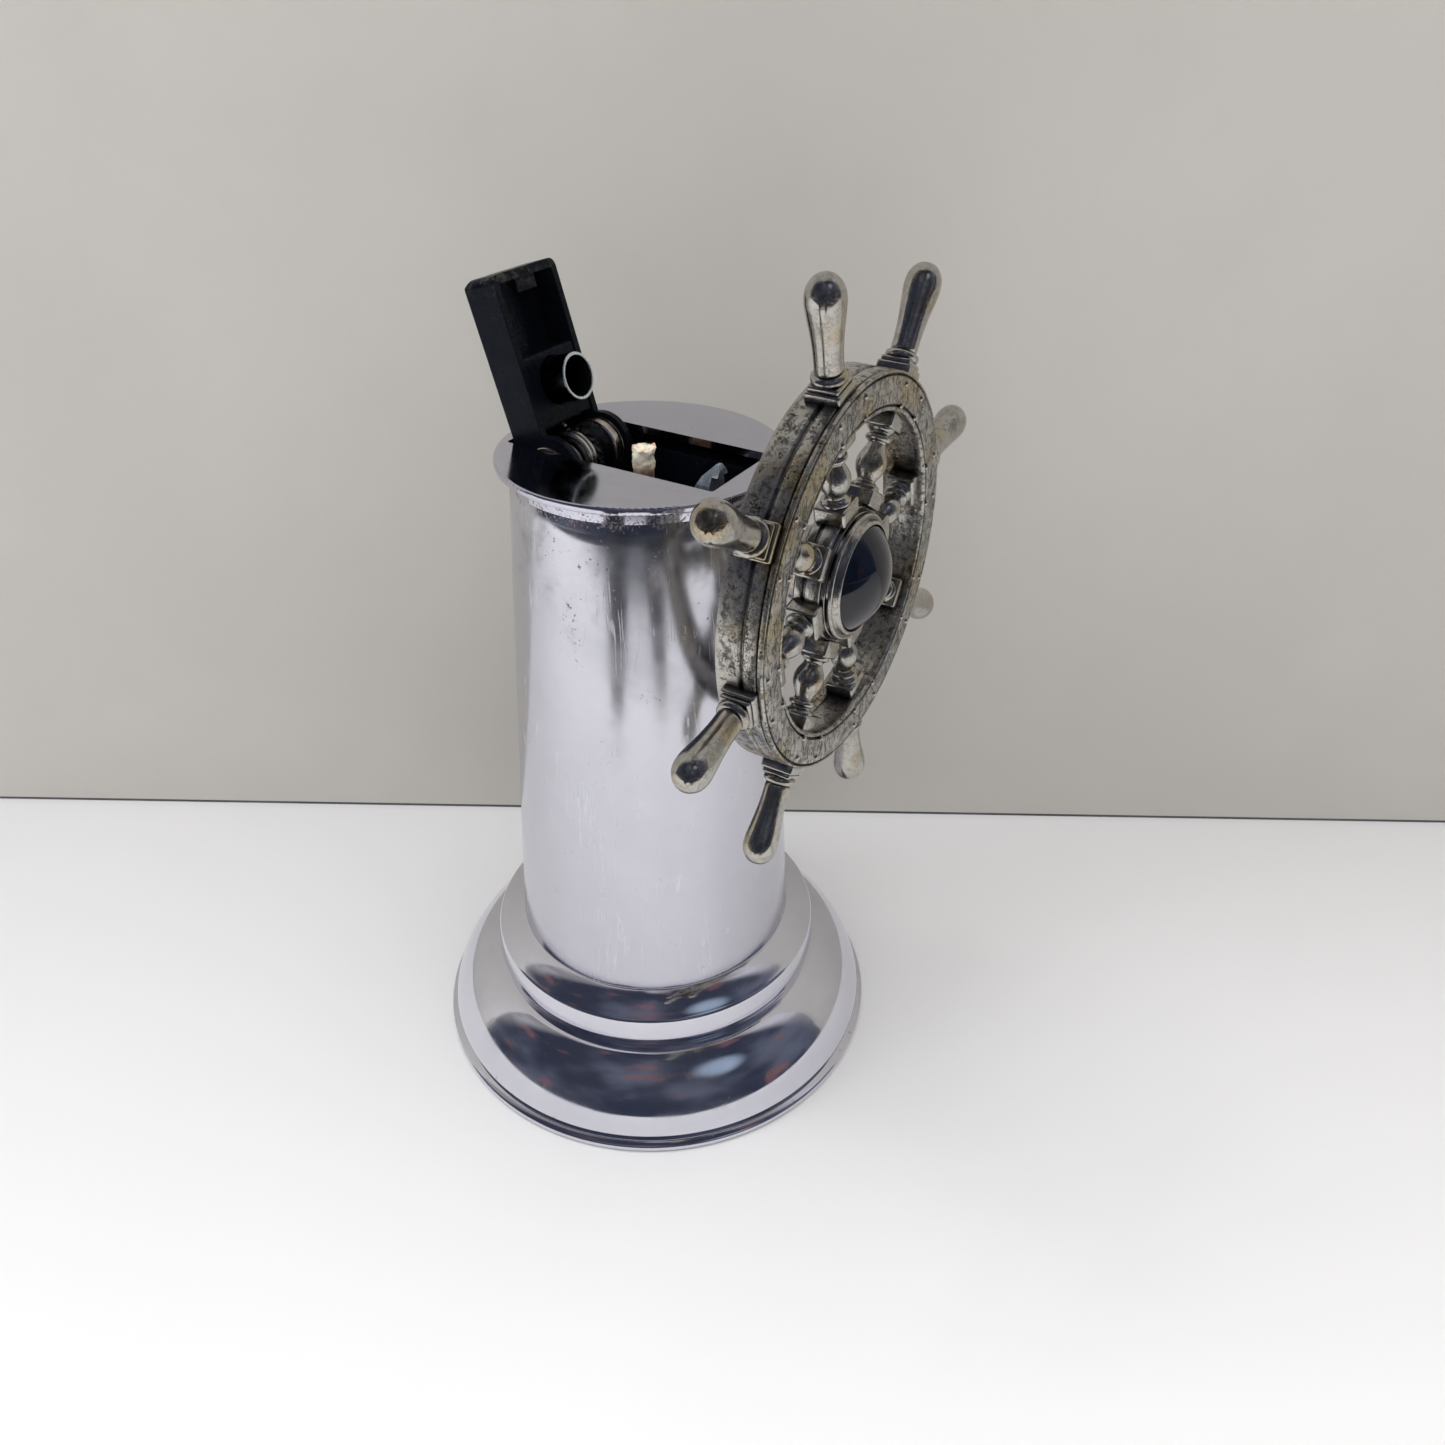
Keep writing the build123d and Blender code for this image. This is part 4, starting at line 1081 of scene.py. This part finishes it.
def place_round_wheel(make, name, node, finish):
    """One copy of a piece at each spoke."""
    for i in range(SPOKE_COUNT):
        bm = make()
        bmesh.ops.transform(bm, matrix=wheel_turn(i), verts=bm.verts[:])
        number = "_%d" % (i + 1)
        place(bm, name + number, "ship_wheel", finish(), (node + number,), sharp=50.0)


def build_spokes():
    place_round_wheel(spoke_bmesh, "turned_spoke", "spoke", turned_nickel)


def build_handles():
    place_round_wheel(handle_bmesh, "club_handle", "handle", handled_nickel)


def build_hub():
    hub, jewel = sizes().hub_radius / MM, sizes().jewel_radius / MM
    centre = Vector((0, 0, SHAFT.z))
    outline = [(2.48, -25.0), (4.6, -25.0), (5.2, -25.6), (5.2, -27.5), (5.6, -28.0), (7.0, -28.35),
               (hub - 0.2, -28.8), (hub, -29.1), (hub, -30.0), (hub - 0.3, -30.15), (hub - 0.3, -30.45),
               (hub, -30.6), (hub, -32.1), (hub - 0.18, -32.42), (hub - 0.42, -32.5), (hub - 0.55, -32.3),
               (hub - 0.72, -32.3), (hub - 0.85, -32.9), (hub - 1.1, -33.05), (0.0, -33.05), (0.0, -31.2),
               (2.48, -31.2)]
    bm = turned(outline, "Y", centre, 128, soften=0.00007, sharper=0.45)
    place(bm, "stepped_hub", "ship_wheel", turned_nickel(), ("wheel_hub",), sharp=50.0)
    lip = jewel + 0.05
    outline = [(lip, -32.95), (8.45, -32.95), (8.5, -33.1), (8.5, -33.55), (8.38, -33.78), (8.15, -33.85),
               (8.0, -33.7), (7.86, -33.7), (7.72, -34.1), (7.6, -34.42), (7.38, -34.62), (7.2, -34.62),
               (lip, -34.45)]
    bm = turned(outline, "Y", centre, 128, soften=0.00005, sharper=0.45)
    place(bm, "ringed_bezel", "ship_wheel", turned_nickel(), ("hub_bezel",), sharp=50.0)
    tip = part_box("hub_jewel")[0].y / MM
    seat, floor = -34.4, -33.05
    rise = seat - tip
    dome_r = (jewel * jewel + rise * rise) / (2.0 * rise)
    middle = dome_r - rise
    halfway = 0.5 * math.asin(jewel / dome_r)
    through = (dome_r * math.sin(halfway), seat + middle - dome_r * math.cos(halfway))
    outline = [(0.0, floor), (jewel, floor)] + arc((jewel, seat), through, (0.0, tip), 28)
    outline[-1] = (0.0, tip)
    bm = turned(outline, "Y", centre, 128, closed=False)
    place(bm, "cabochon", "ship_wheel", dark_jewel(), ("hub_jewel",), sharp=60.0)


def build_shaft():
    centre = Vector((0, 0, SHAFT.z))
    outline = [(0.0, -31.2), (2.48, -31.2), (2.48, -14.45), (1.5, -14.45), (1.5, -12.9), (1.3, -12.7),
               (0.0, -12.7)]
    place(turned(outline, "Y", centre, 64, closed=False), "turned_shaft", "ship_wheel", bright_steel(),
          ("wheel_shaft",))
    outline = [(2.53, -14.7), (3.6, -14.7), (3.6, -19.25), (5.4, -19.25), (5.6, -19.45), (5.6, -20.05),
               (5.4, -20.25), (5.0, -20.35), (4.7, -20.8), (4.4, -21.0), (3.6, -21.05), (3.6, -24.2),
               (3.4, -24.4), (2.53, -24.4)]
    place(turned(outline, "Y", centre, 96, soften=0.00006), "flanged_bush", "stand", bush_chrome(),
          ("shaft_bush",), sharp=45.0)


# ---------------------------------------------------------------- finishes of the pieces inside
def finish_inner_pieces():
    """Frame nodes that keep their own shape get their finish."""
    inner = {
        screw_steel: ("base_screws", "frame_screws", "flint_screw", "filler_screw", "cam_screw"),
        ballast_iron: ("base_weight",),
        tank_tin: ("fuel_tank",),
        cotton_wool: ("tank_cotton",),
        flint_grey: ("flint",),
        tube_brass: ("bush_nut",),
        spring_steel: ("flint_spring", "lid_spring", "wheel_spring", "latch_spring"),
        bright_steel: ("latch_pin", "shaft_cam"),
    }
    for finish, nodes in inner.items():
        for node in nodes:
            for slot in frame["nodes"][node].material_slots:
                slot.material = finish()


# ---------------------------------------------------------------- studio
CAMERA_AT = Vector((-0.1255, -0.0864, 0.1623))
CAMERA_AIM = Vector((0.713, 0.415, -0.565))
CAMERA_ROLL = math.radians(0.53)
WALL_BEHIND = 0.0502
WALL_TURN = math.radians(-0.68)
LENS_MM = 28.65
SENSOR_MM = 36.0
HEADING = Vector((CAMERA_AIM.x, CAMERA_AIM.y, 0.0)).normalized()
ACROSS = Vector((HEADING.y, -HEADING.x, 0.0))


def stage_material(name, base, roughness, grain_scale, grain, one_sided=False):
    material = bpy.data.materials.new(name)
    material.use_nodes = True
    w = Wiring(material.node_tree)
    shader = material.node_tree.nodes["Principled BSDF"]
    tone = w.clouds(w.place(), grain_scale, detail=5.0)
    dim = [c * (1.0 - grain) for c in base]
    w.feed(shader.inputs["Base Color"], w.blend(w.band(tone, 0.3, 0.7), base, dim))
    shader.inputs["Roughness"].default_value = roughness
    if one_sided:
        clear = w.add("ShaderNodeBsdfTransparent")
        behind = w.add("ShaderNodeNewGeometry").outputs["Backfacing"]
        mixed = w.add("ShaderNodeMixShader", {0: behind, 1: shader.outputs[0], 2: clear.outputs[0]})
        out = material.node_tree.nodes["Material Output"]
        w.tree.links.new(mixed.outputs[0], out.inputs["Surface"])
    return material


def stage_sheet(name, corners, material):
    bm = bmesh.new()
    bm.faces.new([bm.verts.new(c) for c in corners])
    mesh = bpy.data.meshes.new(name)
    bm.to_mesh(mesh)
    bm.free()
    sheet = bpy.data.objects.new(name, mesh)
    bpy.context.scene.collection.objects.link(sheet)
    mesh.materials.append(material)
    return sheet


def area_light(name, at, towards, width, height, power, tint):
    """A soft light that no mirror shows."""
    data = bpy.data.lights.new(name, "AREA")
    data.shape = "RECTANGLE"
    data.size, data.size_y = width, height
    data.energy = power
    data.color = tint
    lamp = bpy.data.objects.new(name, data)
    lamp.location = at
    lamp.rotation_euler = (Vector(towards) - Vector(at)).to_track_quat("-Z", "Y").to_euler()
    lamp.visible_glossy = False
    bpy.context.scene.collection.objects.link(lamp)


def build_world():
    """A pale room for the matt surfaces; mirrors see it darker, with a dim side towards the viewer."""
    world = bpy.data.worlds.new("studio")
    bpy.context.scene.world = world
    world.use_nodes = True
    w = Wiring(world.node_tree)
    back = world.node_tree.nodes["Background"]
    direction = w.add("ShaderNodeTexCoord").outputs["Generated"]
    parts = w.split(direction)
    level = w.math("SQRT", w.minus(1.0001, w.times(parts["Z"], parts["Z"])))
    facing = w.math("DIVIDE", w.dot(direction, -HEADING), level)
    dim = w.times(w.band(facing, -0.15, 0.05), w.band(parts["Z"], 0.9999, 0.995))
    warm = w.band(w.clouds(direction, 3.4, detail=2.0), 0.60, 0.67)
    room = w.blend(w.band(w.clouds(direction, 1.5, detail=3.0), 0.38, 0.66), (0.036, 0.043, 0.068),
                   (0.125, 0.14, 0.185))
    room = w.blend(w.times(warm, 0.7), room, (0.24, 0.12, 0.125))
    glow = w.dot(direction, (-0.20, -0.62, 0.76))
    room = w.blend(w.band(glow, 0.975, 0.999), room, (0.36, 0.45, 0.56))
    sides = w.blend(w.band(parts["Z"], 0.15, 0.85), (0.085, 0.085, 0.095), (0.60, 0.60, 0.63))
    sides = w.blend(w.band(w.clouds(direction, 2.2, detail=3.0), 0.42, 0.60), sides, (0.30, 0.29, 0.29))
    mirrored = w.blend(dim, sides, room)
    glossy = w.add("ShaderNodeLightPath").outputs["Is Glossy Ray"]
    w.feed(back.inputs["Color"], w.blend(glossy, (0.80, 0.79, 0.79), mirrored))
    back.inputs["Strength"].default_value = 1.0


def build_flags():
    """Dark shapes in front of the lighter, seen only in its mirror-bright metal."""
    towards = -HEADING
    card = stage_material("dark card", (0.022, 0.022, 0.030), 0.8, 40.0, 0.2)
    for name, distance, side, width, tip in (("card_left", 0.150, -0.060, 0.060, 0.012),
                                             ("card_right", 0.165, 0.042, 0.055, 0.010)):
        near = towards * distance + ACROSS * side
        far = towards * (distance + 0.16) + ACROSS * side * 1.6
        hide_from_view(stage_sheet(name, (near - ACROSS * tip, near + ACROSS * tip, far + ACROSS * width,
                                          far - ACROSS * width), card), 0.002)
    shade = stage_material("dark floor", (0.05, 0.055, 0.075), 0.8, 20.0, 0.4)
    near, far, half = towards * 0.24, towards * 1.5, ACROSS * 1.2
    corners = (near - half, near + half, far + half, far - half)
    hide_from_view(stage_sheet("card_floor", corners, shade), 0.001)


def hide_from_view(sheet, lift):
    """Lifts a card off the table and leaves it to reflections alone."""
    for vert in sheet.data.vertices:
        vert.co.z += lift
    sheet.visible_camera = False
    sheet.visible_shadow = False
    sheet.visible_diffuse = False


def build_stage():
    wall_foot = HEADING * WALL_BEHIND
    wide, deep, tall, seam = 1.6, 1.6, 0.34, 0.0006
    along = Matrix.Rotation(WALL_TURN, 3, "Z") @ ACROSS
    table = stage_material("white table", tuple(colours().table), 0.45, 9.0, 0.02)
    wall = stage_material("pale wall", tuple(colours().wall), 0.85, 14.0, 0.06, one_sided=True)
    # The seam material is a painted shadow: a dark strip at the wall's foot stands for the shade where the
    # wall meets the table.
    gap = stage_material("seam", (0.12, 0.12, 0.13), 0.9, 40.0, 0.3, one_sided=True)
    side, away = ACROSS * wide, HEADING * deep
    stage_sheet("table_top", (-side - away, side - away, side + away, -side + away), table)
    left_foot, right_foot = wall_foot - along * wide, wall_foot + along * wide
    low, high = Vector((0, 0, seam)), Vector((0, 0, tall))
    stage_sheet("backdrop", (left_foot + low, right_foot + low, right_foot + high, left_foot + high), wall)
    # Painted shadow strip along the foot of the wall.
    stage_sheet("seam_shadow", (left_foot, right_foot, right_foot + low, left_foot + low), gap)
    look_at = Vector((0, 0, 0.06))
    left = -ACROSS
    area_light("key", left * 0.42 + HEADING * 0.30 + Vector((0, 0, 0.80)), look_at, 0.40, 0.40, 5.2,
               (1.0, 0.985, 0.96))
    area_light("ceiling", HEADING * 0.05 + Vector((0, 0, 1.3)), look_at, 1.1, 0.8, 6.5, (1.0, 0.99, 0.98))
    area_light("window", left * 0.75 - HEADING * 0.25 + Vector((0, 0, 0.45)), look_at, 0.30, 0.45, 1.4,
               (0.90, 0.93, 1.0))
    build_flags()
    build_world()
    lens = bpy.data.cameras.new("camera")
    lens.lens = LENS_MM
    lens.sensor_width = SENSOR_MM
    lens.clip_start = 0.005
    camera = bpy.data.objects.new("camera", lens)
    camera.location = CAMERA_AT
    look = CAMERA_AIM.to_track_quat("-Z", "Y").to_matrix().to_4x4()
    camera.matrix_world = Matrix.Translation(CAMERA_AT) @ look @ Matrix.Rotation(CAMERA_ROLL, 4, "Z")
    bpy.context.scene.collection.objects.link(camera)
    bpy.context.scene.camera = camera
    bpy.context.scene.view_settings.view_transform = "Standard"


# ---------------------------------------------------------------- operators and panel
def operator(name, label, words, *steps):
    """An operator that runs its building steps in order."""
    def execute(self, context):
        for step in steps:
            step()
        return {"FINISHED"}
    kind = "LIGHTER_OT_" + name
    return type(kind, (bpy.types.Operator,), {
        "bl_idname": "lighter." + name, "bl_label": label, "__doc__": words,
        "bl_options": {"REGISTER", "UNDO"}, "execute": execute})


OPERATORS = (
    operator("base", "Base", "Turns the stepped base and lays its felt", build_base, build_base_pad),
    operator("column", "Column", "Turns the tapered column", build_column),
    operator("plate", "Top plate", "Makes the slotted plate", build_top_plate),
    operator("mechanism", "Mechanism frame", "Makes the black frame under the plate", build_mechanism_frame),
    operator("wick", "Wick", "Braids the wick and draws the tubes", build_wick, build_tubes),
    operator("hinge_row", "Hinge row", "Turns barrels, washers and pin", build_hinge_row),
    operator("spark_wheel", "Spark wheel", "Cuts the spark wheel and its ratchet", build_spark_wheel),
    operator("lid", "Lid", "Moulds the lid with block, snuffer and pawl", build_lid),
    operator("latch", "Latch", "Moulds the latch lever", build_latch),
    operator("rim", "Wheel rim", "Casts the rim and its rivets", build_rim, build_rivets),
    operator("spokes", "Spokes", "Turns the eight spokes", build_spokes),
    operator("handles", "Handles", "Turns the eight handles", build_handles),
    operator("hub", "Hub", "Turns hub and bezel and sets the jewel", build_hub),
    operator("shaft", "Shaft", "Turns the shaft and its bush", build_shaft),
    operator("inner_finishes", "Inner finishes", "Gives the inner pieces their finishes",
             finish_inner_pieces),
    operator("stage", "Stage", "Sets table, wall, lights and camera", build_stage),
)


class LIGHTER_PT_build(bpy.types.Panel):
    """Lists the building steps of the lighter"""
    bl_idname = "LIGHTER_PT_build"
    bl_label = "Table Lighter"
    bl_space_type = "VIEW_3D"
    bl_region_type = "UI"
    bl_category = "Lighter"

    def draw(self, context):
        for group in (context.scene.lighter_sizes, context.scene.lighter_colours):
            box = self.layout.box()
            for name in group.__annotations__:
                box.prop(group, name)
        for kind in OPERATORS:
            self.layout.operator(kind.bl_idname)


CLASSES = (LighterSizes, LighterColours, *OPERATORS, LIGHTER_PT_build)


def register():
    for kind in CLASSES:
        bpy.utils.register_class(kind)
    bpy.types.Scene.lighter_sizes = PointerProperty(type=LighterSizes)
    bpy.types.Scene.lighter_colours = PointerProperty(type=LighterColours)


def unregister():
    del bpy.types.Scene.lighter_colours
    del bpy.types.Scene.lighter_sizes
    for kind in reversed(CLASSES):
        bpy.utils.unregister_class(kind)


def main():
    register()
    for kind in OPERATORS:
        getattr(bpy.ops.lighter, kind.bl_idname.split(".")[1])()


if __name__ == "__main__":
    main()
